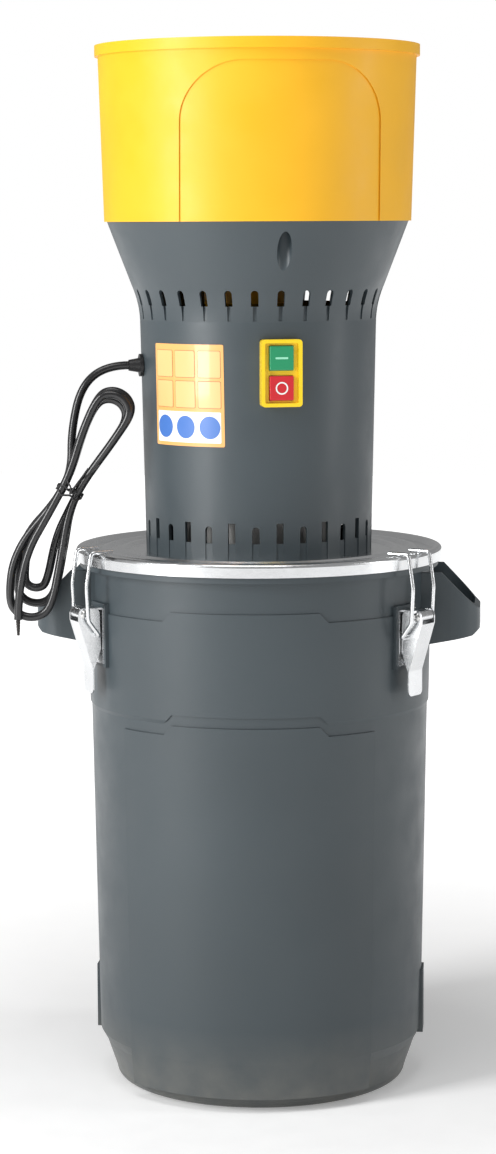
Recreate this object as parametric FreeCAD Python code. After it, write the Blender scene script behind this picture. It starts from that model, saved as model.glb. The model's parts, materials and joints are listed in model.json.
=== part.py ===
"""Electric grain mill: a motor head with a hopper, standing on the latched lid of a plastic drum.

Millimetres, +Z up. The origin is the centre of the drum's base, the drum's front is -Y and its
two handles are on +X and -X. The head stands turned on the lid by HEAD_TURN.
"""
import FreeCAD
import Part
import math
import os
from FreeCAD import Vector

# Running clearances
PIN_CLEARANCE = 0.05
SHAFT_CLEARANCE = 0.03
SLIDE_CLEARANCE = 0.3
REST_CLEARANCE = 0.35

# Drum
DRUM_HEIGHT = 450.0
DRUM_WALL = 3.2
DRUM_FLOOR = 4.0
FOOT_RECESS = 3.0
FOOT_RING_WIDTH = 12.0
FOOT_PAD_RADIUS = 16.0
FOOT_RADIUS = 125.0
FOOT_CORNER = 7.0
CUP_RADIUS = 134.0
CUP_HEIGHT = 33.0
LEDGE_RADIUS = 139.0
LEDGE_HEIGHT = 42.0
COLLAR_RADIUS = 146.0
RIM_RADIUS = COLLAR_RADIUS + 7.0
RIM_THICKNESS = 6.0

# Raised belt and front panel of the drum
BELT_BOTTOM = DRUM_HEIGHT - 125.0
BELT_TOP = DRUM_HEIGHT - 40.0
BELT_PROUD = 1.3
BELT_CHAMFER = 3.0
STEP_RISE = 8.0
STEP_HALF_WIDE = 68.0
STEP_HALF_NARROW = 61.0
PANEL_HALF_ANGLE = 46.0
PANEL_BOTTOM = 12.0
PANEL_BELOW_BELT = 9.0
PANEL_PROUD = 1.3
PANEL_FOOT_RADIUS = 137.6
SIDE_PAD_BOTTOM = 38.0
SIDE_PAD_HEIGHT = 55.0
SIDE_PAD_WIDTH = 26.0
SIDE_PAD_PROUD = 2.6

# Drum handles
HANDLE_REACH = COLLAR_RADIUS + 43.0
HANDLE_WIDTH = 82.0
HANDLE_WALL = 4.5
HANDLE_CORNER = 24.0
HANDLE_ROOT_BOTTOM = DRUM_HEIGHT - 72.0
HANDLE_END_BOTTOM = DRUM_HEIGHT - 62.0
HANDLE_END_TOP = DRUM_HEIGHT - 38.0
HANDLE_ROOT_TOP = DRUM_HEIGHT - 9.0

# Latches, at three places round the drum, counted from its front
LATCH_ANGLES = {"right": 60.0, "left": -60.0, "rear": 180.0}
LATCH_FACE = COLLAR_RADIUS + 2.5
LATCH_PAD_WIDTH = 30.0
LATCH_PAD_MARGIN = 3.0
BRACKET_SHEET = 1.5
BRACKET_WIDTH = 25.0
BRACKET_BOTTOM = DRUM_HEIGHT - 82.0
KNUCKLE_WIDTH = 17.0
KNUCKLE_RADIUS = 4.8
PIN_RADIUS = 2.0
PIN_OUT = 16.5
PIN_HEIGHT = DRUM_HEIGHT - 40.0
PIN_HEAD_RADIUS = 3.4
PIN_HEAD_HEIGHT = 1.2
RIVET_RADIUS = 2.4
RIVET_HEAD_RADIUS = 4.2
RIVET_HEAD_HEIGHT = 1.1
RIVET_HEIGHTS = (PIN_HEIGHT - 32.0, PIN_HEIGHT - 14.0)
LEVER_SHEET = 1.2
LEVER_SIDE_GAP = 0.5
LEVER_KNEE_HEIGHT = PIN_HEIGHT - 46.0
LEVER_KNEE_OUT = 9.5
LEVER_TAB_LENGTH = 21.0
LEVER_TAB_CORNER = 4.0
BAIL_PIVOT_OUT = 5.6
BAIL_PIVOT_HEIGHT = PIN_HEIGHT - 18.0
WIRE_RADIUS = 1.7
BAIL_HALF_WIDTH = 16.0
BAIL_HOOK_LENGTH = 19.0

# Lid and gasket
LID_RADIUS = RIM_RADIUS + 3.0
LID_SHEET = 1.2
LID_TOP = DRUM_HEIGHT + 10.0
LID_DECK = LID_TOP - 4.0
LID_SKIRT = 11.0
LID_RIB_RISE = 2.2
LID_RIB_RADII = (112.0, 128.0)
LID_RIB_WIDTH = 9.0
LID_FLAT_RADIUS = 103.0
SHAFT_OPENING_RADIUS = 26.0
GASKET_HEIGHT = 4.2
GASKET_WIDTH = 6.0

# Motor housing
HEAD_TURN = 15.5
HOUSING_FOOT_RADIUS = 96.0
HOUSING_NECK_RADIUS = HOUSING_FOOT_RADIUS + 4.0
HOUSING_NECK_HEIGHT = LID_DECK + 196.0
HOUSING_BEND_RADIUS = HOUSING_NECK_RADIUS + 6.5
HOUSING_BEND_HEIGHT = HOUSING_NECK_HEIGHT + 28.0
HOUSING_TOP_RADIUS = HOUSING_BEND_RADIUS + 20.7
HOUSING_TOP = HOUSING_BEND_HEIGHT + 54.0
HOUSING_WALL = 3.0
SLOT_COUNT = 30
SLOT_WIDTH = 6.2
UPPER_SLOT_BOTTOM = HOUSING_BEND_HEIGHT - 15.0
UPPER_SLOT_HEIGHT = 13.0
LOWER_SLOT_BOTTOM = LID_DECK + 14.0
LOWER_SLOT_TALL = 17.0
LOWER_SLOT_SHORT = 14.0
SLOT_GROOVE_DEPTH = 0.8
SLOT_GROOVE_LENGTH = 12.0
POCKET_RADIUS = 6.0
POCKET_CENTRE = HOUSING_TOP_RADIUS - 9.2
POCKET_SHELF = 3.0
POCKET_WALL = 2.5
HEAD_SCREW_RADIUS = 2.0
HEAD_SCREW_HEAD_RADIUS = 3.9
HEAD_SCREW_HEAD_HEIGHT = 3.0
HEAD_SCREW_GRIP = 12.0
LUG_RADIUS = 7.0
LUG_CENTRE = HOUSING_FOOT_RADIUS - 9.0
LUG_HEIGHT = 12.0

# Hopper and its feed neck
HOPPER_FOOT_RADIUS = HOUSING_TOP_RADIUS + 2.3
HOPPER_TOP_RADIUS = HOPPER_FOOT_RADIUS + 4.5
HOPPER_TOP = HOUSING_TOP + 146.0
HOPPER_WALL = 3.0
HOPPER_RIM_HEIGHT = 9.0
HOPPER_RIM_PROUD = 2.5
LEDGE_WIDTH = 21.0
FUNNEL_SLOPE = 0.15
FLOOR_HEIGHT = HOUSING_TOP - 20.5
FLOOR_TILT = 11.6
NECK_CENTRE = 60.0
NECK_RADIUS = 35.5
NECK_WALL = 2.5
NECK_BOTTOM = FLOOR_HEIGHT - 49.5
DUCT_CENTRE = 77.0
DUCT_HALF_WIDTH = 31.0
DUCT_HALF_DEPTH = 14.5
DUCT_TOP = NECK_BOTTOM - 24.0
DUCT_WALL = 1.8
OVAL_STEP = 0.001
ARCH_HALF_WIDTH = 83.0
ARCH_TOP = HOPPER_TOP - 18.0
ARCH_CORNER = 48.0
ARCH_DEPTH = 1.2

# Feed gate on the hopper's floor
GATE_SHEET = 2.0
GATE_OVERLAP = 3.0
GATE_ARM_WIDTH = 26.0
GATE_OPEN_ANGLE = 78.0
GATE_PIVOT_RADIUS = 4.0
GATE_SCREW_HEAD = 8.0
GATE_KNOB_RADIUS = 7.0
GATE_KNOB_HEIGHT = 20.0

# Switch
SWITCH_HEIGHT = LID_DECK + 155.0
FACEPLATE_WIDTH = 34.0
FACEPLATE_HEIGHT = 55.0
FACEPLATE_DEPTH = 9.0
FACEPLATE_CORNER = 3.0
SWITCH_SEAT = HOUSING_NECK_RADIUS - 2.5
FACEPLATE_RIM = 3.0
FACEPLATE_WELL = 4.0
BUTTON_WIDTH = 20.0
BUTTON_HEIGHT = 20.0
BUTTON_PITCH = 24.5
BUTTON_PROUD = 3.0
BUTTON_TRAVEL = 2.5
SWITCH_BODY_WIDTH = 27.0
SWITCH_BODY_HEIGHT = 46.0
SWITCH_BODY_DEPTH = 26.0

# Motor
STATOR_RADIUS = 58.0
STATOR_BORE = 34.0
STATOR_BOTTOM = LID_DECK + 52.0
STATOR_HEIGHT = 80.0
STATOR_SLOTS = 24
AIR_GAP = 0.6
WINDING_HEIGHT = 14.0
WINDING_GAP = 0.5
SHAFT_RADIUS = 7.5
SHAFT_TOP = STATOR_BOTTOM + 132.0
BEARING_RADIUS = 17.5
BEARING_HEIGHT = 11.0
SHIELD_RADIUS = 61.0
SHIELD_PLATE = 6.0
FAN_RADIUS = 50.0
FAN_HEIGHT = 14.0
FAN_BLADES = 9
MOTOR_BOLT_CIRCLE = 53.0
MOTOR_BOLT_RADIUS = 2.5
MOTOR_BOLTS = 4
STATOR_SLOT_WIDTH = 5.0
STATOR_SLOT_DEPTH = 12.0
WINDING_RADIUS = 49.0
SHIELD_WALL = 3.5

# Grinding chamber under the lid
PLATE_RADIUS = 107.0
PLATE_THICKNESS = 4.0
SIEVE_RADIUS = 95.0
SIEVE_SHEET = 1.5
SIEVE_HEIGHT = 38.0
SIEVE_SLOTS = 60
SIEVE_SLOT_WIDTH = 4.0
SIEVE_MARGIN = 6.0
SIEVE_FLOOR = 3.0
KNIFE_LENGTH = 178.0
KNIFE_WIDTH = 26.0
KNIFE_THICKNESS = 4.0
KNIFE_DROP = 20.0
KNIFE_SHANK_RADIUS = 6.0
KNIFE_NUT_HEIGHT = 9.0
STUD_COUNT = 3
STUD_CIRCLE = 101.0
STUD_RADIUS = 3.0
STUD_NUT_HEIGHT = 6.0

# Run capacitor, strapped to the side of the motor
CAPACITOR_DEPTH = 26.0
CAPACITOR_WIDTH = 48.0
CAPACITOR_HEIGHT = 62.0
CAPACITOR_BOTTOM = STATOR_BOTTOM + 12.0
CAPACITOR_GAP = 5.0
STRAP_SHEET = 1.2
STRAP_HEIGHT = 14.0

# Mains cord, its gland and its hank; the hank hangs upright, turned a little from the drum
CORD_RADIUS = 3.5
GLAND_HEIGHT = LID_DECK + 158.0
GLAND_RADIUS = 6.2
GLAND_FLANGE_RADIUS = 9.5
GLAND_FLANGE = 2.5
GLAND_RELIEF = 9.0
GLAND_TIP_RADIUS = 4.6
GLAND_INSIDE = 8.0
HANK_TURN = 5.0
HANK_FORWARD = 32.5
HANK_LAYER = 7.9
HANK_WAIST = (-LID_RADIUS - 2.4, GLAND_HEIGHT - 104.0, 28.0)
HANK_LOBE = (-LID_RADIUS - 35.7, GLAND_HEIGHT - 191.5, 10.0)
HANK_START = (-LID_RADIUS - 1.3, GLAND_HEIGHT - 54.0)
HANK_END = (-LID_RADIUS - 46.3, GLAND_HEIGHT - 211.0)
LEAD_BEND = (7.0 - LID_RADIUS, GLAND_HEIGHT - 17.0, 29.0)
HANK_COLUMN = 6.5
HANK_STRAIGHT = 9.0
HANK_CLIMB_END = 58.0
HANK_CLIMB_COLUMN = 13.0
HANK_TURNS = ((17.0, 2.0, 9.0, 76.5, 16.0), (10.0, 1.0, 16.0, 71.0, 14.5), (18.5, 0.0, 0.0, 75.0, 15.5))
TIE_SHEET = 1.6
TIE_HEIGHT = 4.0
BARE_LENGTH = 13.0


def turned(shape, degrees):
    """Copy of a shape turned about the Z axis; a positive angle moves the front towards +X."""
    copy = shape.copy()
    copy.rotate(Vector(0, 0, 0), Vector(0, 0, 1), degrees)
    return copy


def moved(shape, x, y, z):
    copy = shape.copy()
    copy.translate(Vector(x, y, z))
    return copy


def polar(radius, degrees, z=0.0):
    """Point at an angle from the front, positive towards +X."""
    angle = math.radians(degrees)
    return Vector(radius * math.sin(angle), -radius * math.cos(angle), z)


def in_side(a, b):
    return Vector(a, 0, b)


def in_plan(a, b):
    return Vector(a, b, 0)


def outline(steps, place):
    """Closed wire: a step (a, b) is a line to that point, (a, b, c, d) an arc there through (c, d)."""
    last = place(*steps[0][:2])
    edges = []
    for step in steps[1:] + steps[:1]:
        end = place(*step[:2])
        if len(step) == 4:
            edges.append(Part.Arc(last, place(*step[2:]), end).toShape())
        elif end.distanceToPoint(last) > 0:
            edges.append(Part.makeLine(last, end))
        last = end
    return Part.Wire(edges)


def turned_solid(steps, sweep=360.0):
    """Solid turned about the Z axis from (radius, height) steps, centred on +X if it is a sector."""
    solid = Part.Face(outline(steps, in_side)).revolve(Vector(0, 0, 0), Vector(0, 0, 1), sweep)
    return turned(solid, -sweep / 2) if sweep < 360.0 else solid


def side_prism(steps, half_width):
    """Prism from an outline in the X-Z plane, centred on it."""
    solid = Part.Face(outline(steps, in_side)).extrude(Vector(0, 2 * half_width, 0))
    return moved(solid, 0, -half_width, 0)


def plan_prism(steps, bottom, top):
    """Prism from an outline in plan, between two heights."""
    solid = Part.Face(outline(steps, in_plan)).extrude(Vector(0, 0, top - bottom))
    return moved(solid, 0, 0, bottom)


def block(width, depth, bottom, top, x=0.0, y=0.0):
    """Upright box centred on (x, y)."""
    return Part.makeBox(width, depth, top - bottom, Vector(x - width / 2, y - depth / 2, bottom))


def post(radius, bottom, top, x=0.0, y=0.0):
    return Part.makeCylinder(radius, top - bottom, Vector(x, y, bottom))


def tube(outer, inner, bottom, top):
    return post(outer, bottom, top).cut(post(inner, bottom - 1, top + 1))


def rounded_block(width, depth, corner, bottom, top, x=0.0, y=0.0):
    """Upright box with rounded upright edges."""
    solid = block(width, depth, bottom, top, x, y)
    upright = [edge for edge in solid.Edges if abs(edge.tangentAt(edge.FirstParameter).z) > 0.9]
    return solid.makeFillet(corner, upright)


def fused(shapes):
    shapes = list(shapes)
    whole = shapes[0].fuse(shapes[1:]) if len(shapes) > 1 else shapes[0]
    return whole.removeSplitter()


def save(node, shape):
    """Write one node, after checking that each of its solids is sound."""
    for solid in shape.Solids:
        assert solid.isValid() and solid.Volume > 0, node
    shape.exportStep("parts/" + node + ".step")
    print(node, "solids", len(shape.Solids), "volume", round(shape.Volume))


# Drum: one plastic moulding with its handles, belt, front panel and latch pads

def wall_radius(z):
    """Outer radius of the drum's plain wall, which widens slowly upwards."""
    rise = (z - LEDGE_HEIGHT) / (DRUM_HEIGHT - RIM_THICKNESS - LEDGE_HEIGHT)
    return LEDGE_RADIUS + rise * (COLLAR_RADIUS - LEDGE_RADIUS)


def drum_body(inset, bottom, top):
    """Solid of revolution of the drum's wall, or of its inside when inset by the wall."""
    foot = FOOT_RADIUS - inset
    bevel = FOOT_CORNER * (1 - math.sqrt(0.5))
    neck = wall_radius(DRUM_HEIGHT - RIM_THICKNESS) - inset
    return turned_solid([
        (0, bottom), (foot - FOOT_CORNER, bottom),
        (foot, bottom + FOOT_CORNER, foot - bevel, bottom + bevel),
        (CUP_RADIUS - inset, CUP_HEIGHT), (LEDGE_RADIUS - inset, LEDGE_HEIGHT),
        (neck, DRUM_HEIGHT - RIM_THICKNESS), (neck, top), (0, top)])


def front_step(bottom):
    """Trapezoid at the drum's front, one step high, that raises the belt's and the panel's edges."""
    steps = [(-STEP_HALF_WIDE, bottom), (STEP_HALF_WIDE, bottom),
             (STEP_HALF_NARROW, bottom + STEP_RISE), (-STEP_HALF_NARROW, bottom + STEP_RISE)]
    return moved(side_prism(steps, DRUM_HEIGHT / 8), 0, -COLLAR_RADIUS, 0)


def stepped_top(height):
    """What lies above a stepped upper edge, to be cut away."""
    return tube(RIM_RADIUS, CUP_RADIUS, height, height + STEP_RISE + 1).cut(front_step(height))


def drum_belt():
    top = BELT_TOP + STEP_RISE
    ring = turned_solid([
        (CUP_RADIUS, BELT_BOTTOM), (wall_radius(BELT_BOTTOM), BELT_BOTTOM),
        (wall_radius(BELT_BOTTOM) + BELT_PROUD, BELT_BOTTOM + BELT_CHAMFER),
        (wall_radius(top) + BELT_PROUD, top), (CUP_RADIUS, top)])
    return ring.cut(front_step(BELT_BOTTOM)).cut(stepped_top(BELT_TOP))


def drum_panel():
    edge = BELT_BOTTOM - PANEL_BELOW_BELT
    top = edge + STEP_RISE
    inner = FOOT_RADIUS - FOOT_RING_WIDTH
    sector = turned_solid([
        (inner, PANEL_BOTTOM), (PANEL_FOOT_RADIUS, PANEL_BOTTOM),
        (LEDGE_RADIUS + PANEL_PROUD, LEDGE_HEIGHT), (wall_radius(top) + PANEL_PROUD, top),
        (inner, top)], 2 * PANEL_HALF_ANGLE)
    return turned(sector, -90).cut(stepped_top(edge))


def handle():
    """D-shaped loop of upright wall on the drum's side, sloping down to its outer end."""
    def strap(inset, bottom, top):
        reach = HANDLE_REACH - inset
        half = HANDLE_WIDTH / 2 - inset
        corner = HANDLE_CORNER - inset
        bevel = corner * (1 - math.sqrt(0.5))
        root = CUP_RADIUS
        return plan_prism([
            (root, -half), (reach - corner, -half), (reach, corner - half, reach - bevel, bevel - half),
            (reach, half - corner), (reach - corner, half, reach - bevel, half - bevel), (root, half)],
            bottom, top)
    loop = strap(0, HANDLE_ROOT_BOTTOM - 1, DRUM_HEIGHT).cut(
        strap(HANDLE_WALL, HANDLE_ROOT_BOTTOM - 2, DRUM_HEIGHT + 1))
    profile = side_prism([
        (CUP_RADIUS, HANDLE_ROOT_BOTTOM), (HANDLE_REACH - 6, HANDLE_END_BOTTOM - 1),
        (HANDLE_REACH, HANDLE_END_BOTTOM + 4), (HANDLE_REACH, HANDLE_END_TOP - 3),
        (HANDLE_REACH - 4, HANDLE_END_TOP), (RIM_RADIUS + 4, HANDLE_ROOT_TOP),
        (CUP_RADIUS, HANDLE_ROOT_TOP)], HANDLE_WIDTH)
    return loop.common(profile)


def latch_pad(angle):
    """Flat on the drum's wall that a latch bracket is riveted to."""
    pad = Part.makeBox(LATCH_FACE - CUP_RADIUS, LATCH_PAD_WIDTH,
                       PIN_HEIGHT + 8 - BRACKET_BOTTOM + LATCH_PAD_MARGIN,
                       Vector(CUP_RADIUS, -LATCH_PAD_WIDTH / 2, BRACKET_BOTTOM - LATCH_PAD_MARGIN))
    return turned(pad, angle - 90)


def side_pad():
    reach = wall_radius(SIDE_PAD_BOTTOM) + SIDE_PAD_PROUD
    return Part.makeBox(reach - CUP_RADIUS + 10, SIDE_PAD_WIDTH, SIDE_PAD_HEIGHT,
                        Vector(CUP_RADIUS - 10, -SIDE_PAD_WIDTH / 2, SIDE_PAD_BOTTOM))


def rivet_shanks(angle):
    holes = [Part.makeCylinder(RIVET_RADIUS, 40, Vector(CUP_RADIUS - 10, 0, z), Vector(1, 0, 0))
             for z in RIVET_HEIGHTS]
    return [turned(hole, angle - 90) for hole in holes]


def drum():
    rim = tube(RIM_RADIUS, CUP_RADIUS, DRUM_HEIGHT - RIM_THICKNESS, DRUM_HEIGHT)
    outside = [drum_body(0, 0, DRUM_HEIGHT), rim, drum_belt(), drum_panel()]
    outside += [handle(), turned(handle(), 180), side_pad(), turned(side_pad(), 180)]
    outside += [latch_pad(angle) for angle in LATCH_ANGLES.values()]
    solid = outside[0]
    for part in outside[1:]:
        solid = solid.fuse(part)
    solid = solid.cut(drum_body(DRUM_WALL, FOOT_RECESS + DRUM_FLOOR, DRUM_HEIGHT + 1))
    solid = solid.cut(tube(FOOT_RADIUS - FOOT_RING_WIDTH, FOOT_PAD_RADIUS, 0, FOOT_RECESS))
    for angle in LATCH_ANGLES.values():
        for shank in rivet_shanks(angle):
            solid = solid.cut(shank)
    return solid


# Latches, drawn with the wall at -X and out of it along +X, then turned to their places

PIN_X = LATCH_FACE + PIN_OUT
LEVER_INNER = KNUCKLE_WIDTH / 2 + LEVER_SIDE_GAP
LEVER_OUTER = LEVER_INNER + LEVER_SHEET
BAIL_X = LATCH_FACE + BAIL_PIVOT_OUT


def across(radius, half_length, x, z):
    """Round bar along Y, centred."""
    return Part.makeCylinder(radius, 2 * half_length, Vector(x, -half_length, z), Vector(0, 1, 0))


def latch_bracket():
    plate_out = LATCH_FACE + BRACKET_SHEET
    top = PIN_HEIGHT + KNUCKLE_RADIUS
    plate = Part.makeBox(BRACKET_SHEET, BRACKET_WIDTH, top - BRACKET_BOTTOM,
                         Vector(LATCH_FACE, -BRACKET_WIDTH / 2, BRACKET_BOTTOM))
    strap = Part.makeBox(PIN_X - LATCH_FACE, KNUCKLE_WIDTH, BRACKET_SHEET,
                         Vector(LATCH_FACE, -KNUCKLE_WIDTH / 2, top - BRACKET_SHEET))
    bracket = fused([plate, strap, across(KNUCKLE_RADIUS, KNUCKLE_WIDTH / 2, PIN_X, PIN_HEIGHT)])
    bracket = bracket.cut(across(PIN_RADIUS + PIN_CLEARANCE, KNUCKLE_WIDTH, PIN_X, PIN_HEIGHT))
    for z in RIVET_HEIGHTS:
        hole = Part.makeCylinder(RIVET_RADIUS, 3 * BRACKET_SHEET,
                                 Vector(plate_out - 2 * BRACKET_SHEET, 0, z), Vector(1, 0, 0))
        bracket = bracket.cut(hole)
    return bracket


def latch_rivets():
    """Two rivets through the bracket and the drum's wall, headed on both sides."""
    rivets = []
    inside = wall_radius(BELT_TOP) - DRUM_WALL - 2.0
    out = LATCH_FACE + BRACKET_SHEET
    for z in RIVET_HEIGHTS:
        shank = Part.makeCylinder(RIVET_RADIUS, out - inside, Vector(inside, 0, z), Vector(1, 0, 0))
        head = Part.makeCone(RIVET_HEAD_RADIUS, RIVET_RADIUS, RIVET_HEAD_HEIGHT,
                             Vector(out, 0, z), Vector(1, 0, 0))
        tail = Part.makeCylinder(RIVET_HEAD_RADIUS, RIVET_HEAD_HEIGHT, Vector(inside, 0, z),
                                 Vector(-1, 0, 0))
        rivets.append(fused([shank, head, tail]))
    return Part.Compound(rivets)


def latch_pin():
    half = LEVER_OUTER + PIN_CLEARANCE
    heads = [Part.makeCone(PIN_HEAD_RADIUS, PIN_RADIUS, PIN_HEAD_HEIGHT,
                           Vector(PIN_X, side * half, PIN_HEIGHT), Vector(0, side, 0))
             for side in (-1, 1)]
    return fused([across(PIN_RADIUS, half, PIN_X, PIN_HEIGHT)] + heads)


def latch_lever():
    """Channel of folded sheet: two sides with the pin and bail holes, a face, and a flat tab."""
    knee_x = LATCH_FACE + LEVER_KNEE_OUT
    face_x = PIN_X + 5.2
    face_top = PIN_HEIGHT - 6.0
    ear = PIN_RADIUS + 3.4
    side = side_prism([
        (face_x, face_top), (PIN_X + ear, PIN_HEIGHT),
        (PIN_X, PIN_HEIGHT + ear, PIN_X + 0.7 * ear, PIN_HEIGHT + 0.7 * ear),
        (LATCH_FACE + 4.5, PIN_HEIGHT + 4.0), (LATCH_FACE + 3.0, PIN_HEIGHT + 1.0),
        (LATCH_FACE + 2.2, LEVER_KNEE_HEIGHT + 16), (knee_x - 1.5, LEVER_KNEE_HEIGHT)], LEVER_OUTER)
    side = side.cut(block(60, 2 * LEVER_INNER, 300, 500, PIN_X))
    face = side_prism([
        (face_x, face_top), (face_x - LEVER_SHEET, face_top),
        (knee_x - LEVER_SHEET, LEVER_KNEE_HEIGHT), (knee_x, LEVER_KNEE_HEIGHT)], LEVER_OUTER)
    tab = Part.makeBox(LEVER_SHEET, 2 * LEVER_OUTER, LEVER_TAB_LENGTH,
                       Vector(knee_x - LEVER_SHEET, -LEVER_OUTER, LEVER_KNEE_HEIGHT - LEVER_TAB_LENGTH))
    low = [edge for edge in tab.Edges
           if edge.BoundBox.ZMax < LEVER_KNEE_HEIGHT - LEVER_TAB_LENGTH + 0.1
           and edge.BoundBox.YLength < 0.1]
    lever = fused([side, face, tab.makeFillet(LEVER_TAB_CORNER, low)])
    lever = lever.cut(across(PIN_RADIUS + PIN_CLEARANCE, 20, PIN_X, PIN_HEIGHT))
    return lever.cut(across(WIRE_RADIUS + PIN_CLEARANCE, 20, BAIL_X, BAIL_PIVOT_HEIGHT))


def bent_wire(points, radius, bends):
    """Round wire along straight runs joined by tangent arcs of the given radii."""
    edges = []
    last = points[0]
    for before, corner, after, bend in zip(points, points[1:], points[2:], bends):
        back = (before - corner).normalize()
        ahead = (after - corner).normalize()
        half = back.getAngle(ahead) / 2
        reach = bend / math.tan(half)
        middle = (back + ahead).normalize() * (bend / math.sin(half) - bend)
        start = corner + back * reach
        end = corner + ahead * reach
        edges.append(Part.makeLine(last, start))
        edges.append(Part.Arc(start, corner + middle, end).toShape())
        last = end
    edges.append(Part.makeLine(last, points[-1]))
    path = Part.Wire(edges)
    section = Part.Wire(Part.makeCircle(radius, points[0], points[1] - points[0]))
    solid = Part.Solid(path.makePipeShell([section], True, False).Shells[0])
    if solid.Volume < 0:
        solid.reverse()
    print("wire volume / section x length", round(solid.Volume / (math.pi * radius ** 2 * path.Length), 4))
    return solid


def latch_bail():
    """One wire: a bar through the lever, two bowed legs and two hooks that lie over the lid's rim."""
    rim = LID_TOP + WIRE_RADIUS + REST_CLEARANCE
    leg = LID_RADIUS + WIRE_RADIUS + 3.0
    y = BAIL_HALF_WIDTH
    half = [Vector(leg - BAIL_HOOK_LENGTH, y, rim), Vector(leg, y, rim),
            Vector(leg + 4.5, y, rim - 28), Vector(leg + 3.0, y, PIN_HEIGHT - 5),
            Vector(BAIL_X, y, BAIL_PIVOT_HEIGHT)]
    other = [Vector(point.x, -y, point.z) for point in reversed(half)]
    bends = [4.0, 30.0, 8.0, 2.6]
    return bent_wire(half + other, WIRE_RADIUS, bends + bends[::-1])


# Lid and gasket

def lid():
    """Pressed sheet lid: flat centre, two raised rings, a rolled edge and a skirt over the rim."""
    step = LID_RIB_WIDTH / 3
    roll = 3.0
    top = [(LID_FLAT_RADIUS, LID_DECK)]
    for radius in LID_RIB_RADII:
        top += [(radius, LID_DECK), (radius + step, LID_DECK + LID_RIB_RISE),
                (radius + 2 * step, LID_DECK + LID_RIB_RISE), (radius + 3 * step, LID_DECK)]
    edge = LID_RADIUS - 2 * roll
    upper = [(0, LID_DECK)] + top + [
        (edge - roll, LID_DECK), (edge, LID_TOP), (LID_RADIUS - roll, LID_TOP),
        (LID_RADIUS, LID_TOP - roll, LID_RADIUS - 0.3 * roll, LID_TOP - 0.3 * roll),
        (LID_RADIUS, LID_TOP - LID_SKIRT), (LID_RADIUS - LID_SHEET, LID_TOP - LID_SKIRT)]
    under = [(LID_RADIUS - LID_SHEET, LID_TOP - LID_SHEET - roll), (edge, LID_TOP - LID_SHEET - roll + 1),
             (edge - roll, LID_DECK - LID_SHEET)]
    lower = [(r, z - LID_SHEET) for r, z in reversed(top)] + [(0, LID_DECK - LID_SHEET)]
    sheet = turned_solid(upper + under + lower)
    sheet = sheet.cut(post(SHAFT_OPENING_RADIUS, LID_DECK - 9, LID_DECK + 9))
    sheet = sheet.cut(turned(duct_core(SLIDE_CLEARANCE, LID_DECK - 9, LID_DECK + 9), HEAD_TURN))
    for shank in lid_screw_shanks(LID_DECK - 9, LID_DECK + 9):
        sheet = sheet.cut(shank)
    return sheet


def lid_gasket():
    inner = COLLAR_RADIUS - GASKET_WIDTH + 2
    return tube(inner + GASKET_WIDTH, inner, DRUM_HEIGHT, DRUM_HEIGHT + GASKET_HEIGHT)


def lid_screw_shanks(bottom, top):
    """Three screws up through the chamber plate and the lid into the housing's lugs."""
    return [moved(post(HEAD_SCREW_RADIUS, bottom, top), *polar(LUG_CENTRE, HEAD_TURN + turn))
            for turn in (60, 180 - 60, -60)]


def lid_screws():
    head = LID_DECK - LID_SHEET - PLATE_THICKNESS
    screws = []
    for turn in (60, 180 - 60, -60):
        screw = fused([post(HEAD_SCREW_RADIUS, head, LID_DECK + LUG_HEIGHT - 3),
                       post(HEAD_SCREW_HEAD_RADIUS, head - HEAD_SCREW_HEAD_HEIGHT, head)])
        screws.append(moved(screw, *polar(LUG_CENTRE, HEAD_TURN + turn)))
    return Part.Compound(screws)


# Motor housing, drawn with the head's front at -Y and turned by HEAD_TURN when saved

def flare_radius(z):
    """Outer radius of the housing's sloping upper part."""
    rise = (z - HOUSING_BEND_HEIGHT) / (HOUSING_TOP - HOUSING_BEND_HEIGHT)
    return HOUSING_BEND_RADIUS + rise * (HOUSING_TOP_RADIUS - HOUSING_BEND_RADIUS)


def housing_body(inset, bottom, top):
    """Solid of revolution of the housing, or of its inside when inset by the wall."""
    middle = (HOUSING_NECK_HEIGHT + HOUSING_BEND_HEIGHT) / 2
    return turned_solid([
        (0, bottom), (HOUSING_FOOT_RADIUS - inset, bottom), (HOUSING_NECK_RADIUS - inset, HOUSING_NECK_HEIGHT),
        (HOUSING_BEND_RADIUS - inset, HOUSING_BEND_HEIGHT, HOUSING_NECK_RADIUS - inset + 1.9, middle),
        (HOUSING_TOP_RADIUS - inset, HOUSING_TOP), (HOUSING_TOP_RADIUS - inset, top), (0, top)])


def slot(bottom, height, arched, depth):
    """Cutter of one upright slot through the wall at the front, square or round at the top."""
    half = SLOT_WIDTH / 2
    top = bottom + height
    head = [(half, top - half), (-half, top - half, 0, top)] if arched else [(half, top), (-half, top)]
    steps = [(-half, bottom), (half, bottom)] + head
    solid = side_prism(steps, depth)
    return moved(solid, 0, -HOUSING_NECK_RADIUS, 0)


def slot_cutters():
    pitch = 360.0 / SLOT_COUNT
    cutters = []
    for number in range(SLOT_COUNT):
        tall = number % 2 == 0
        height = LOWER_SLOT_TALL if tall else LOWER_SLOT_SHORT
        upper = slot(UPPER_SLOT_BOTTOM, UPPER_SLOT_HEIGHT, True, 12.0)
        lower = slot(LOWER_SLOT_BOTTOM, height, not tall, 12.0)
        cutters += [turned(upper, number * pitch), turned(lower, number * pitch)]
    return cutters


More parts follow.
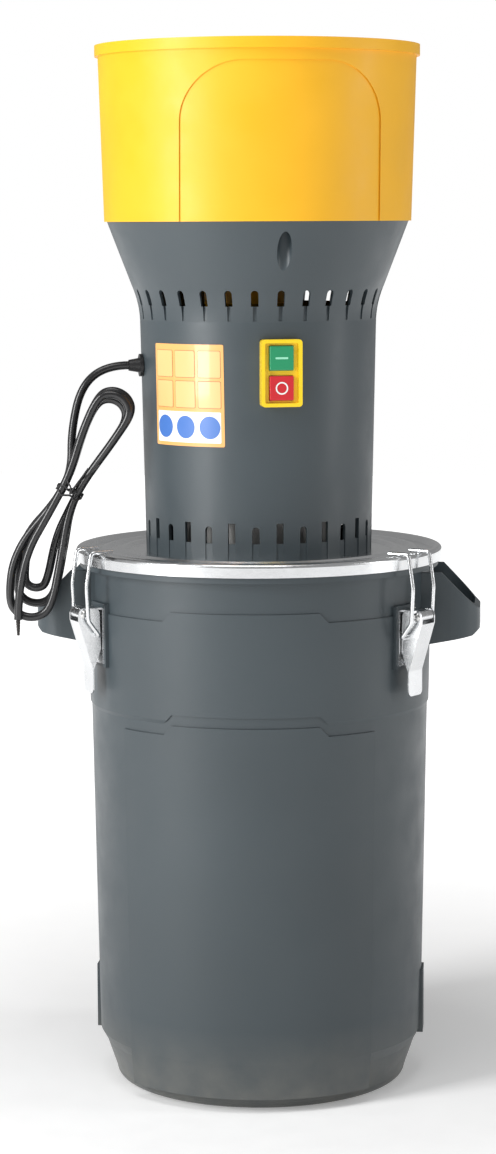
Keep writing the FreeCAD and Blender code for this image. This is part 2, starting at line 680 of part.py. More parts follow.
def groove_cutters():
    """Shallow grooves from each lower slot to the foot, and a short way below each upper slot."""
    pitch = 360.0 / SLOT_COUNT
    foot = HOUSING_FOOT_RADIUS + (HOUSING_NECK_RADIUS - HOUSING_FOOT_RADIUS) * 0.05
    neck = HOUSING_NECK_RADIUS
    low = block(SLOT_WIDTH, 8, LID_DECK - 1, LOWER_SLOT_BOTTOM + 1, 0, -foot + SLOT_GROOVE_DEPTH - 4)
    high = block(SLOT_WIDTH * 0.5, 8, UPPER_SLOT_BOTTOM - SLOT_GROOVE_LENGTH, UPPER_SLOT_BOTTOM + 1,
                 0, -neck + SLOT_GROOVE_DEPTH - 4)
    return [turned(cutter, number * pitch) for number in range(SLOT_COUNT) for cutter in (low, high)]


def duct_core(extra, bottom, top):
    """Upright oval prism of the feed duct's outside, wider by extra."""
    centre = Vector(0, DUCT_CENTRE, bottom)
    oval = Part.Ellipse(centre, DUCT_HALF_WIDTH + extra, DUCT_HALF_DEPTH + extra)
    face = Part.Face(Part.Wire(oval.toShape()))
    return face.extrude(Vector(0, 0, top - bottom))


def head_housing():
    outside = housing_body(0, LID_DECK, HOUSING_TOP)
    solid = outside.cut(housing_body(HOUSING_WALL, LID_DECK - 1, HOUSING_TOP + 1))
    for turn in (0, 120, -120):
        centre = polar(POCKET_CENTRE, turn)
        boss = post(POCKET_RADIUS + POCKET_WALL, HOUSING_BEND_HEIGHT, HOUSING_TOP, centre.x, centre.y)
        solid = solid.fuse(boss.common(outside))
        solid = solid.cut(post(POCKET_RADIUS, HOUSING_BEND_HEIGHT - 1, HOUSING_TOP - POCKET_SHELF,
                               centre.x, centre.y))
        solid = solid.cut(post(HEAD_SCREW_RADIUS, HOUSING_BEND_HEIGHT, HOUSING_TOP + 1,
                               centre.x, centre.y))
    for turn in (60, 120, -60):
        centre = polar(LUG_CENTRE, turn)
        lug = post(LUG_RADIUS, LID_DECK, LID_DECK + LUG_HEIGHT, centre.x, centre.y)
        solid = solid.fuse(lug.common(outside))
        solid = solid.cut(post(HEAD_SCREW_RADIUS, LID_DECK - 1, LID_DECK + LUG_HEIGHT - 3,
                               centre.x, centre.y))
    solid = solid.cut(Part.Compound(slot_cutters()))
    solid = solid.cut(Part.Compound(groove_cutters()))
    opening = block(SWITCH_BODY_WIDTH, 30, SWITCH_HEIGHT - SWITCH_BODY_HEIGHT / 2,
                    SWITCH_HEIGHT + SWITCH_BODY_HEIGHT / 2, 0, -HOUSING_NECK_RADIUS)
    seat = block(FACEPLATE_WIDTH, 30, SWITCH_HEIGHT - FACEPLATE_HEIGHT / 2,
                 SWITCH_HEIGHT + FACEPLATE_HEIGHT / 2, 0, -SWITCH_SEAT - 15)
    solid = solid.cut(opening).cut(seat)
    return solid.cut(gland_bore(SLIDE_CLEARANCE))


def head_screws():
    """Screws up through the housing's pockets into the hopper's bosses."""
    shelf = HOUSING_TOP - POCKET_SHELF
    screws = []
    for turn in (0, 120, -120):
        screw = fused([post(HEAD_SCREW_RADIUS, shelf, HOUSING_TOP + HEAD_SCREW_GRIP),
                       post(HEAD_SCREW_HEAD_RADIUS, shelf - HEAD_SCREW_HEAD_HEIGHT, shelf)])
        screws.append(moved(screw, *polar(POCKET_CENTRE, turn)))
    return Part.Compound(screws)


# Hopper, one moulding with its sloping floor and off-centre feed neck

def hopper_radius(z):
    rise = (z - HOUSING_TOP) / (HOPPER_TOP - HOUSING_TOP)
    return HOPPER_FOOT_RADIUS + rise * (HOPPER_TOP_RADIUS - HOPPER_FOOT_RADIUS)


def above_floor(drop):
    """Half space above the tilted floor, lowered by a thickness at right angles to it."""
    size = 4 * HOPPER_TOP_RADIUS
    solid = Part.makeBox(size, size, size, Vector(-size / 2, -size / 2, -drop))
    solid.rotate(Vector(0, 0, 0), Vector(1, 0, 0), -FLOOR_TILT)
    return moved(solid, 0, 0, FLOOR_HEIGHT)


def funnel_cone(inset):
    """Cone below the hopper's flat ledge, which stands clear of the housing's screw bosses."""
    top = HOUSING_TOP + HOPPER_WALL
    low = HOUSING_BEND_HEIGHT
    start = HOPPER_FOOT_RADIUS - LEDGE_WIDTH - inset
    return turned_solid([(0, low), (start - (top - low) * FUNNEL_SLOPE, low), (start, top), (0, top)])


def neck_solid(inset, top):
    """Round neck that narrows and turns oval to meet the feed duct."""
    radius = NECK_RADIUS - inset
    sections = [(NECK_CENTRE, top, radius, radius - OVAL_STEP),
                (NECK_CENTRE, NECK_BOTTOM, radius, radius - OVAL_STEP),
                (DUCT_CENTRE, DUCT_TOP, DUCT_HALF_WIDTH - inset, DUCT_HALF_DEPTH - inset)]
    wires = [Part.Wire(Part.Ellipse(Vector(0, y, z), long, short).toShape())
             for y, z, long, short in sections]
    return Part.makeLoft(wires, True, True)


def arch_zone(depth):
    """Arch-shaped outline at the front, over the hopper's wall."""
    half = ARCH_HALF_WIDTH
    bevel = ARCH_CORNER * (1 - math.sqrt(0.5))
    corner = ARCH_TOP - ARCH_CORNER
    prism = side_prism([
        (-half, HOUSING_TOP - 1), (half, HOUSING_TOP - 1), (half, corner),
        (half - ARCH_CORNER, ARCH_TOP, half - bevel, ARCH_TOP - bevel), (ARCH_CORNER - half, ARCH_TOP),
        (-half, corner, bevel - half, ARCH_TOP - bevel)], HOPPER_TOP_RADIUS / 2)
    prism = moved(prism, 0, -HOPPER_TOP_RADIUS, 0)
    skin = turned_solid([
        (hopper_radius(HOUSING_TOP) - depth, HOUSING_TOP - 1), (HOPPER_TOP_RADIUS + 9, HOUSING_TOP - 1),
        (HOPPER_TOP_RADIUS + 9, HOPPER_TOP), (hopper_radius(HOPPER_TOP) - depth, HOPPER_TOP)])
    return prism.common(skin)


def hopper():
    band = HOPPER_TOP - HOPPER_RIM_HEIGHT
    proud = hopper_radius(HOPPER_TOP) + HOPPER_RIM_PROUD
    wall = turned_solid([
        (0, HOUSING_TOP), (hopper_radius(HOUSING_TOP), HOUSING_TOP), (hopper_radius(band), band),
        (proud, band), (proud, HOPPER_TOP), (0, HOPPER_TOP)])
    solid = wall.fuse(funnel_cone(0).common(above_floor(HOPPER_WALL)))
    solid = solid.fuse(neck_solid(0, FLOOR_HEIGHT))
    ledge = HOUSING_TOP + HOPPER_WALL
    bowl = turned_solid([
        (0, ledge), (hopper_radius(ledge) - HOPPER_WALL, ledge),
        (hopper_radius(HOPPER_TOP) - HOPPER_WALL, HOPPER_TOP + 1), (0, HOPPER_TOP + 1)])
    cavity = bowl.fuse(funnel_cone(HOPPER_WALL).common(above_floor(0)))
    solid = solid.cut(cavity)
    solid = solid.cut(neck_solid(NECK_WALL, FLOOR_HEIGHT + 20))
    solid = solid.cut(arch_zone(ARCH_DEPTH))
    for turn in (0, 120, -120):
        centre = polar(POCKET_CENTRE, turn)
        boss = post(POCKET_RADIUS, HOUSING_TOP, HOUSING_TOP + HEAD_SCREW_GRIP + 3, centre.x, centre.y)
        solid = solid.fuse(boss)
        solid = solid.cut(post(HEAD_SCREW_RADIUS, HOUSING_TOP - 1, HOUSING_TOP + HEAD_SCREW_GRIP,
                               centre.x, centre.y))
    pivot = gate_placed(post(GATE_PIVOT_RADIUS - 2, -12, 1))
    return solid.cut(pivot)


# Feed gate: drawn flat, then laid on the tilted floor

def gate_placed(shape):
    """Tilt a shape drawn about the pivot at the origin down on to the hopper's floor."""
    copy = shape.copy()
    copy.rotate(Vector(0, 0, 0), Vector(1, 0, 0), -FLOOR_TILT)
    return moved(copy, 0, 0, FLOOR_HEIGHT)


def gate_reach():
    """Distance along the floor from the pivot to the neck's centre."""
    return NECK_CENTRE / math.cos(math.radians(FLOOR_TILT))


def feed_gate():
    blade = NECK_RADIUS - NECK_WALL + GATE_OVERLAP
    low = REST_CLEARANCE
    plate = post(blade, low, low + GATE_SHEET, 0, gate_reach())
    arm = block(GATE_ARM_WIDTH, gate_reach(), low, low + GATE_SHEET, 0, gate_reach() / 2)
    hub = post(GATE_ARM_WIDTH / 2, low, low + GATE_SHEET)
    gate = fused([plate, arm, hub]).cut(post(GATE_PIVOT_RADIUS + PIN_CLEARANCE, -1, 9))
    gate = gate.cut(post(2.5, -1, 9, 0, gate_reach()))
    return gate_placed(turned(gate, GATE_OPEN_ANGLE))


def gate_knob():
    low = REST_CLEARANCE + GATE_SHEET
    knob = fused([post(GATE_KNOB_RADIUS * 0.6, low, low + GATE_KNOB_HEIGHT, 0, gate_reach()),
                  post(GATE_KNOB_RADIUS, low + GATE_KNOB_HEIGHT * 0.6, low + GATE_KNOB_HEIGHT, 0, gate_reach()),
                  post(2.5, REST_CLEARANCE, low, 0, gate_reach())])
    return gate_placed(turned(knob, GATE_OPEN_ANGLE))


def gate_screw():
    """Shoulder screw that the gate swings on."""
    top = 2 * REST_CLEARANCE + GATE_SHEET
    screw = fused([post(GATE_PIVOT_RADIUS - 2, -7, 0), post(GATE_PIVOT_RADIUS, 0, top),
                   post(GATE_SCREW_HEAD, top, top + 3)])
    return gate_placed(screw)


# Switch on the head's front: a plate with a rim, two buttons and the switch block behind it

def front_block(width, height, corner, back, front, z):
    """Block on the head's front between two distances from the axis, its corners rounded."""
    solid = Part.makeBox(width, front - back, height, Vector(-width / 2, -front, z - height / 2))
    along = [edge for edge in solid.Edges if abs(edge.tangentAt(edge.FirstParameter).y) > 0.9]
    return solid.makeFillet(corner, along)


def button_height(side):
    """Height of a button's centre: the start button is side 1, the stop button side -1."""
    return SWITCH_HEIGHT + side * BUTTON_PITCH / 2


def switch_faceplate():
    back = SWITCH_SEAT
    front = back + FACEPLATE_DEPTH
    plate = front_block(FACEPLATE_WIDTH, FACEPLATE_HEIGHT, FACEPLATE_CORNER, back, front, SWITCH_HEIGHT)
    well = front_block(FACEPLATE_WIDTH - 2 * FACEPLATE_RIM, FACEPLATE_HEIGHT - 2 * FACEPLATE_RIM,
                       FACEPLATE_CORNER / 2, front - FACEPLATE_WELL, front + 1, SWITCH_HEIGHT)
    plate = plate.cut(well)
    for side in (-1, 1):
        hole = front_block(BUTTON_WIDTH + 2 * SLIDE_CLEARANCE, BUTTON_HEIGHT + 2 * SLIDE_CLEARANCE,
                           1.0, back - 1, front + 1, button_height(side))
        plate = plate.cut(hole)
    return plate


def button(side):
    """Square push button with a softened face, held in the plate's well."""
    front = SWITCH_SEAT + FACEPLATE_DEPTH - FACEPLATE_WELL + BUTTON_PROUD
    back = SWITCH_SEAT + BUTTON_TRAVEL + SLIDE_CLEARANCE
    solid = front_block(BUTTON_WIDTH, BUTTON_HEIGHT, 1.0, back, front, button_height(side))
    face = [edge for edge in solid.Edges if abs(edge.BoundBox.YMin + front) < 0.01
            and edge.BoundBox.YLength < 0.01]
    return solid.makeFillet(0.8, face)


def switch_body():
    return front_block(SWITCH_BODY_WIDTH - 0.4, SWITCH_BODY_HEIGHT - 0.4, 1.5,
                       SWITCH_SEAT - SWITCH_BODY_DEPTH, SWITCH_SEAT, SWITCH_HEIGHT)


# Motor: the stator between two end shields, bolted through, and the turning parts

def stator_top():
    return STATOR_BOTTOM + STATOR_HEIGHT


def shield_top():
    """Upper face of the upper end shield."""
    return stator_top() + WINDING_HEIGHT + 4 + SHIELD_PLATE


def bolt_places():
    return [polar(MOTOR_BOLT_CIRCLE, 45 + number * 360 / MOTOR_BOLTS) for number in range(MOTOR_BOLTS)]


def bolt_holes(bottom, top):
    return Part.Compound([post(MOTOR_BOLT_RADIUS + PIN_CLEARANCE, bottom, top, p.x, p.y)
                          for p in bolt_places()])


def stator_core():
    core = tube(STATOR_RADIUS, STATOR_BORE, STATOR_BOTTOM, stator_top())
    cutter = block(STATOR_SLOT_WIDTH, STATOR_SLOT_DEPTH + 2, STATOR_BOTTOM - 1, stator_top() + 1,
                   0, -STATOR_BORE - STATOR_SLOT_DEPTH / 2 + 1)
    slots = [turned(cutter, number * 360 / STATOR_SLOTS) for number in range(STATOR_SLOTS)]
    return core.cut(Part.Compound(slots)).cut(bolt_holes(STATOR_BOTTOM - 1, stator_top() + 1))


def winding_ring(bottom):
    """End turns of the windings, as one bound ring with rounded shoulders."""
    inner = STATOR_BORE + 2
    outer = WINDING_RADIUS
    top = bottom + WINDING_HEIGHT
    return turned_solid([(inner, bottom), (outer, bottom), (outer, top - 4),
                         (outer - 4, top, outer - 1.2, top - 1.2), (inner + 3, top),
                         (inner, top - 3, inner + 0.9, top - 0.9)])


def stator_windings():
    upper = winding_ring(stator_top() + WINDING_GAP)
    lower = winding_ring(0)
    lower.rotate(Vector(0, 0, 0), Vector(1, 0, 0), 180)
    return Part.Compound([upper, moved(lower, 0, 0, STATOR_BOTTOM - WINDING_GAP)])


def bearing_seat(bottom):
    return post(BEARING_RADIUS + SHAFT_CLEARANCE, bottom, bottom + BEARING_HEIGHT)


def lower_shield():
    """Cast foot of the motor: it stands on the lid and holds the lower bearing."""
    hub = BEARING_RADIUS + 4
    solid = tube(SHIELD_RADIUS, SHIELD_RADIUS - SHIELD_WALL, LID_DECK, STATOR_BOTTOM)
    solid = fused([solid, post(SHIELD_RADIUS, LID_DECK, LID_DECK + SHIELD_PLATE),
                   post(hub, LID_DECK, LID_DECK + SHIELD_PLATE + BEARING_HEIGHT)])
    solid = solid.cut(bearing_seat(LID_DECK + SHIELD_PLATE))
    solid = solid.cut(post(SHAFT_RADIUS + 4, LID_DECK - 1, LID_DECK + SHIELD_PLATE + 1))
    return solid.cut(bolt_holes(LID_DECK + 1, STATOR_BOTTOM))


def upper_shield():
    hub = BEARING_RADIUS + 4
    top = shield_top()
    solid = tube(SHIELD_RADIUS, SHIELD_RADIUS - SHIELD_WALL, stator_top(), top)
    solid = fused([solid, post(SHIELD_RADIUS, top - SHIELD_PLATE, top),
                   post(hub, top - BEARING_HEIGHT - 2, top)])
    solid = solid.cut(bearing_seat(top - BEARING_HEIGHT - 2))
    solid = solid.cut(post(SHAFT_RADIUS + 2, top - 4, top + 1))
    return solid.cut(bolt_holes(stator_top(), top + 1))


def bearing(bottom):
    return tube(BEARING_RADIUS, SHAFT_RADIUS + SHAFT_CLEARANCE, bottom, bottom + BEARING_HEIGHT)


def motor_bolts():
    top = shield_top()
    bolts = [fused([post(MOTOR_BOLT_RADIUS, LID_DECK + 1, top, p.x, p.y),
                    post(MOTOR_BOLT_RADIUS + 2, top, top + 4, p.x, p.y)]) for p in bolt_places()]
    return Part.Compound(bolts)


def knife_top():
    """Upper face of the crossed knife bars."""
    return LID_DECK - LID_SHEET - PLATE_THICKNESS - KNIFE_DROP + KNIFE_THICKNESS


def motor_shaft():
    low = knife_top() - 2 * KNIFE_THICKNESS - KNIFE_NUT_HEIGHT - 2
    shaft = fused([post(SHAFT_RADIUS, knife_top(), SHAFT_TOP), post(KNIFE_SHANK_RADIUS, low, SHAFT_TOP)])
    return shaft


def rotor_core():
    outer = STATOR_BORE - AIR_GAP
    core = tube(outer, SHAFT_RADIUS + SHAFT_CLEARANCE, STATOR_BOTTOM, stator_top())
    rings = [tube(outer - 2, outer - 10, bottom, bottom + 6)
             for bottom in (STATOR_BOTTOM - 6, stator_top())]
    return fused([core] + rings)


def cooling_fan():
    bottom = shield_top() + 6
    hub = tube(11, SHAFT_RADIUS + SHAFT_CLEARANCE, bottom, bottom + FAN_HEIGHT)
    disc = tube(FAN_RADIUS, 10, bottom, bottom + 2)
    blade = block(2, FAN_RADIUS - 12, bottom + 1, bottom + FAN_HEIGHT, 0, -(FAN_RADIUS + 8) / 2)
    blades = [turned(blade, number * 360 / FAN_BLADES) for number in range(FAN_BLADES)]
    return fused([hub, disc] + blades)


def run_capacitor():
    inner = STATOR_RADIUS + CAPACITOR_GAP
    return turned(rounded_block(CAPACITOR_WIDTH, CAPACITOR_DEPTH, 2.0, CAPACITOR_BOTTOM,
                                CAPACITOR_BOTTOM + CAPACITOR_HEIGHT, 0, -inner - CAPACITOR_DEPTH / 2), 90)


def capacitor_strap():
    """Sheet strap round the capacitor with a foot on the stator."""
    inner = STATOR_RADIUS + CAPACITOR_GAP
    middle = -inner - CAPACITOR_DEPTH / 2
    low = CAPACITOR_BOTTOM + (CAPACITOR_HEIGHT - STRAP_HEIGHT) / 2
    gap = PIN_CLEARANCE
    band = block(CAPACITOR_WIDTH + 2 * (gap + STRAP_SHEET), CAPACITOR_DEPTH + 2 * (gap + STRAP_SHEET),
                 low, low + STRAP_HEIGHT, 0, middle)
    band = band.cut(block(CAPACITOR_WIDTH + 2 * gap, CAPACITOR_DEPTH + 2 * gap, low - 1,
                          low + STRAP_HEIGHT + 1, 0, middle))
    foot = block(12, CAPACITOR_GAP, low, low + STRAP_HEIGHT, 0, -inner + CAPACITOR_GAP / 2)
    foot = foot.cut(post(STATOR_RADIUS + gap, low - 1, low + STRAP_HEIGHT + 1))
    foot = foot.cut(block(CAPACITOR_WIDTH, 2 * gap, low - 1, low + STRAP_HEIGHT + 1, 0, -inner))
    return turned(fused([band, foot]), 90)


def feed_duct():
    bottom = LID_DECK - LID_SHEET - PLATE_THICKNESS
    return duct_core(0, bottom, DUCT_TOP).cut(duct_core(-DUCT_WALL, bottom - 1, DUCT_TOP + 1))


# Grinding chamber under the lid

def plate_bottom():
    return LID_DECK - LID_SHEET - PLATE_THICKNESS


def stud_places():
    return [polar(STUD_CIRCLE, number * 360 / STUD_COUNT + 30) for number in range(STUD_COUNT)]


def chamber_plate():
    solid = tube(PLATE_RADIUS, SHAFT_OPENING_RADIUS, plate_bottom(), LID_DECK - LID_SHEET)
    solid = solid.cut(duct_core(SLIDE_CLEARANCE, plate_bottom() - 1, LID_DECK))
    for turn in (60, 120, -60):
        centre = polar(LUG_CENTRE, turn)
        solid = solid.cut(post(HEAD_SCREW_RADIUS, plate_bottom() - 1, LID_DECK, centre.x, centre.y))
    return solid


def sieve():
    """Upright sieve ring: slots all round that the meal is thrown out through."""
    bottom = plate_bottom() - SIEVE_HEIGHT
    ring = tube(SIEVE_RADIUS, SIEVE_RADIUS - SIEVE_SHEET, bottom, plate_bottom())
    cutter = block(SIEVE_SLOT_WIDTH, 12, bottom + SIEVE_MARGIN, plate_bottom() - SIEVE_MARGIN,
                   0, -SIEVE_RADIUS)
    return ring.cut(Part.Compound([turned(cutter, number * 360 / SIEVE_SLOTS)
                                   for number in range(SIEVE_SLOTS)]))


def sieve_floor():
    top = plate_bottom() - SIEVE_HEIGHT
    solid = post(PLATE_RADIUS, top - SIEVE_FLOOR, top)
    for place in stud_places():
        solid = solid.cut(post(STUD_RADIUS + SLIDE_CLEARANCE, top - 9, top + 1, place.x, place.y))
    return solid


def stud_bottom():
    return plate_bottom() - SIEVE_HEIGHT - SIEVE_FLOOR - STUD_NUT_HEIGHT - 3


def chamber_studs():
    return Part.Compound([post(STUD_RADIUS, stud_bottom(), plate_bottom(), p.x, p.y)
                          for p in stud_places()])


def hexagon(radius, bottom, top, x=0.0, y=0.0):
    corners = [(x + radius * math.cos(math.radians(60 * n)), y + radius * math.sin(math.radians(60 * n)))
               for n in range(6)]
    return plan_prism(corners, bottom, top)


def stud_nuts():
    top = plate_bottom() - SIEVE_HEIGHT - SIEVE_FLOOR
    nuts = []
    for place in stud_places():
        nut = hexagon(2 * STUD_RADIUS, top - STUD_NUT_HEIGHT, top, place.x, place.y)
        nuts.append(nut.cut(post(STUD_RADIUS + PIN_CLEARANCE, top - 9, top + 1, place.x, place.y)))
    return Part.Compound(nuts)


def knife_bars():
    """Two crossed bars of hardened plate, bevelled at their tips."""
    bars = []
    for number, share in enumerate((1.0, 0.9)):
        top = knife_top() - number * KNIFE_THICKNESS
        half = share * KNIFE_LENGTH / 2
        width = KNIFE_WIDTH / 2
        bar = plan_prism([(-half, -width + 5), (-half + 5, -width), (half, -width), (half, width - 5),
                          (half - 5, width), (-half, width)], top - KNIFE_THICKNESS, top)
        bar = bar.cut(post(KNIFE_SHANK_RADIUS + PIN_CLEARANCE, top - 9, top + 9))
        bars.append(turned(bar, 90 * number))
    return Part.Compound(bars)


def knife_hub():
    """Spacer collar that drives the bars, under the lower bearing."""
    return tube(SHAFT_RADIUS + 6, SHAFT_RADIUS + SHAFT_CLEARANCE, knife_top(), LID_DECK - 6)


def knife_nut():
    top = knife_top() - 2 * KNIFE_THICKNESS
    nut = hexagon(2 * KNIFE_SHANK_RADIUS, top - KNIFE_NUT_HEIGHT, top)
    return nut.cut(post(KNIFE_SHANK_RADIUS + PIN_CLEARANCE, top - 20, top + 1))


# Mains cord: gland on the head's left side, lead, hank, tie and bared end

def gland_bore(extra):
    return Part.makeCylinder(GLAND_RADIUS + extra, 2 * HOUSING_FOOT_RADIUS,
                             Vector(-HOUSING_FOOT_RADIUS / 2, 0, GLAND_HEIGHT), Vector(-1, 0, 0))


def gland_seat():
    """Distance from the axis to the gland's flange, just outside the housing's wall."""
    rise = (GLAND_HEIGHT - LID_DECK) / (HOUSING_NECK_HEIGHT - LID_DECK)
    return HOUSING_FOOT_RADIUS + rise * (HOUSING_NECK_RADIUS - HOUSING_FOOT_RADIUS) + 0.3


def cord_gland():
    seat = gland_seat()
    out = Vector(-1, 0, 0)
    inside = Part.makeCylinder(GLAND_RADIUS, GLAND_INSIDE, Vector(GLAND_INSIDE - seat, 0, GLAND_HEIGHT), out)
    flange = Part.makeCylinder(GLAND_FLANGE_RADIUS, GLAND_FLANGE, Vector(-seat, 0, GLAND_HEIGHT), out)
    relief = Part.makeCone(GLAND_RADIUS, GLAND_TIP_RADIUS, GLAND_RELIEF,
                           Vector(-seat - GLAND_FLANGE, 0, GLAND_HEIGHT), out)
    return fused([inside, flange, relief])


def hank_point(x, z, forward=HANK_FORWARD):
    """Point of the hank's upright plane, in the drum's frame."""
    angle = math.radians(HANK_TURN)
    return Vector(x * math.cos(angle) + forward * math.sin(angle),
                  x * math.sin(angle) - forward * math.cos(angle), z)


def cord_route(points):
    """Wire of straight runs joined by tangent arcs as large as the runs allow."""
    edges = []
    last = points[0]
    for before, corner, after in zip(points, points[1:], points[2:]):
        back = before - corner
        ahead = after - corner
        shorter = min(back.Length, ahead.Length)
        reach = 0.45 * shorter
        turn = math.pi - back.getAngle(ahead)
        bend = reach / math.tan(turn / 2)
        print("cord bend radius", round(bend, 1), "turn", round(math.degrees(turn)))
        back.normalize()
        ahead.normalize()
        middle = (back + ahead).normalize() * (bend / math.cos(turn / 2) - bend)
        edges.append(Part.makeLine(last, corner + back * reach))
        edges.append(Part.Arc(corner + back * reach, corner + middle, corner + ahead * reach).toShape())
        last = corner + ahead * reach
    edges.append(Part.makeLine(last, points[-1]))
    return Part.Wire(edges)


def lead_points():
    """Chosen points of the lead, from the gland's tip to the start of the hank."""
    tip = gland_seat() + GLAND_FLANGE + GLAND_RELIEF
    start = polar(tip, HEAD_TURN - 90, GLAND_HEIGHT)
    second = polar(tip + 19.0, HEAD_TURN - 90, GLAND_HEIGHT)
    return [start, second, hank_point(*LEAD_BEND), hank_point(*HANK_START)]


def cord_tube(path, start, way):
    """Unbroken tube of the cord's section along a wire; prints how its volume compares."""
    section = Part.Wire(Part.makeCircle(CORD_RADIUS, start, way))
    solid = Part.Solid(path.makePipeShell([section], True, False).Shells[0])
    if solid.Volume < 0:
        solid.reverse()
    print("cord volume / section x length",
          round(solid.Volume / (math.pi * CORD_RADIUS ** 2 * path.Length), 4), "length", round(path.Length))
    return solid


def cord_lead():
    points = lead_points()
    return cord_tube(cord_route(points), points[0], points[1] - points[0])


def in_hank(part, along, across, layer):
    """Point of the hank beside the middle of its waist or its lower lobe, layers towards the front."""
    x, z, lean = part
    up = math.radians(lean)
    return hank_point(x + along * math.sin(up) + across * math.cos(up),
                      z + along * math.cos(up) - across * math.sin(up),
                      HANK_FORWARD + layer * HANK_LAYER)


def arc_from(start, way, end):
    """Arc, or line, that leaves start along way and reaches end."""
    chord = end - start
    turn = way.getAngle(chord)
    if turn < 1e-4:
        return Part.makeLine(start, end)
    side = (way - chord * (way.dot(chord) / chord.dot(chord))).normalize()
    return Part.Arc(start, start + chord / 2 + side * (chord.Length / 2 * math.tan(turn / 2)), end).toShape()


def biarc(start, way, end, end_way):
    """Two tangent arcs between two points, each with the way the cord runs there."""
    gap = end - start
    across = gap.dot(way + end_way)
    spread = 2 * (1 - way.dot(end_way))
    if spread < 1e-9:
        reach = gap.dot(gap) / (2 * across)
    else:
        reach = (math.sqrt(across ** 2 + spread * gap.dot(gap)) - across) / spread
    joint = (start + end + (way - end_way) * reach) / 2
    back = arc_from(end, end_way * -1, joint)
    return [arc_from(start, way, joint), back.reversed()]


def hank_stations():
    """Places along the tied turns and the way the cord runs there, from the lead to the free end."""
    before, start = lead_points()[-2:]
    up_waist = in_hank(HANK_WAIST, 1, 0, 0) - in_hank(HANK_WAIST, 0, 0, 0)
    up_lobe = in_hank(HANK_LOBE, 1, 0, 0) - in_hank(HANK_LOBE, 0, 0, 0)
    stations = [(start, (start - before).normalize())]
    for layer, (radius, shift, shorter, reach, top_radius) in enumerate(HANK_TURNS):
        stations += [
            (in_hank(HANK_WAIST, HANK_STRAIGHT, -HANK_COLUMN, layer), up_waist * -1),
            (in_hank(HANK_WAIST, -HANK_STRAIGHT, -HANK_COLUMN, layer), up_waist * -1),
            (in_hank(HANK_LOBE, shorter, shift - radius, layer), up_lobe * -1),
            (in_hank(HANK_LOBE, shorter, shift + radius, layer), up_lobe),
            (in_hank(HANK_WAIST, -HANK_STRAIGHT, HANK_COLUMN, layer), up_waist),
            (in_hank(HANK_WAIST, HANK_STRAIGHT, HANK_COLUMN, layer), up_waist),
            (in_hank(HANK_WAIST, HANK_CLIMB_END, HANK_CLIMB_COLUMN, layer + 1), up_waist),
            (in_hank(HANK_WAIST, reach, top_radius, layer + 1), up_waist),
            (in_hank(HANK_WAIST, reach, -top_radius, layer + 1), up_waist * -1)]
    last = len(HANK_TURNS)
    down = Vector(0, 0, -1)
    end = hank_point(*HANK_END, HANK_FORWARD + last * HANK_LAYER)
    stations += [
        (in_hank(HANK_WAIST, HANK_STRAIGHT, -HANK_COLUMN, last), up_waist * -1),
        (in_hank(HANK_WAIST, -HANK_STRAIGHT, -HANK_COLUMN, last), up_waist * -1),
        (end - down * 2 * CORD_RADIUS, down), (end, down)]
    return stations


def least_gap(path, step):
    """Least distance between the tube's own turns, measured between points on its centre line."""
    count = int(path.Length / step)
    points = path.discretize(count)
    apart = int(8 * CORD_RADIUS / step)
    least = min((points[a] - points[b]).Length for a in range(count) for b in range(a + apart, count))
    return least - 2 * CORD_RADIUS


def cord_hank():
    """The tied turns of the cord as one unbroken tube, climbing a layer forward in each turn."""
    stations = hank_stations()
    edges = []
    for (here, way), (there, there_way) in zip(stations, stations[1:]):
        edges += biarc(here, way, there, there_way)
    path = Part.Wire(edges)
    print("hank's least gap to itself", round(least_gap(path, 2.5), 2))
    return cord_tube(path, stations[0][0], stations[0][1])


def hank_tie():
    """Tie round the hank's waist."""
    wide = 2 * (HANK_COLUMN + CORD_RADIUS) + 0.4
    thick = len(HANK_TURNS) * HANK_LAYER + 2 * CORD_RADIUS + 0.4
    outer = block(wide + 2 * TIE_SHEET, thick + 2 * TIE_SHEET, -TIE_HEIGHT / 2, TIE_HEIGHT / 2)
    ring = outer.cut(block(wide, thick, -TIE_HEIGHT, TIE_HEIGHT))
    ring.rotate(Vector(0, 0, 0), Vector(0, 1, 0), HANK_WAIST[2])
    middle = in_hank(HANK_WAIST, 0, 0, len(HANK_TURNS) / 2)
    return moved(turned(ring, HANK_TURN), middle.x, middle.y, middle.z)


def cord_end():
    """Bared end of the cord: the sheath ends inside the lower lobe and the cores are twisted."""
    top = hank_point(*HANK_END, HANK_FORWARD + len(HANK_TURNS) * HANK_LAYER)
    return Part.makeCone(CORD_RADIUS * 0.8, 0.8, BARE_LENGTH, top, Vector(0, 0, -1))


def in_head(shape):
    return turned(shape, HEAD_TURN)


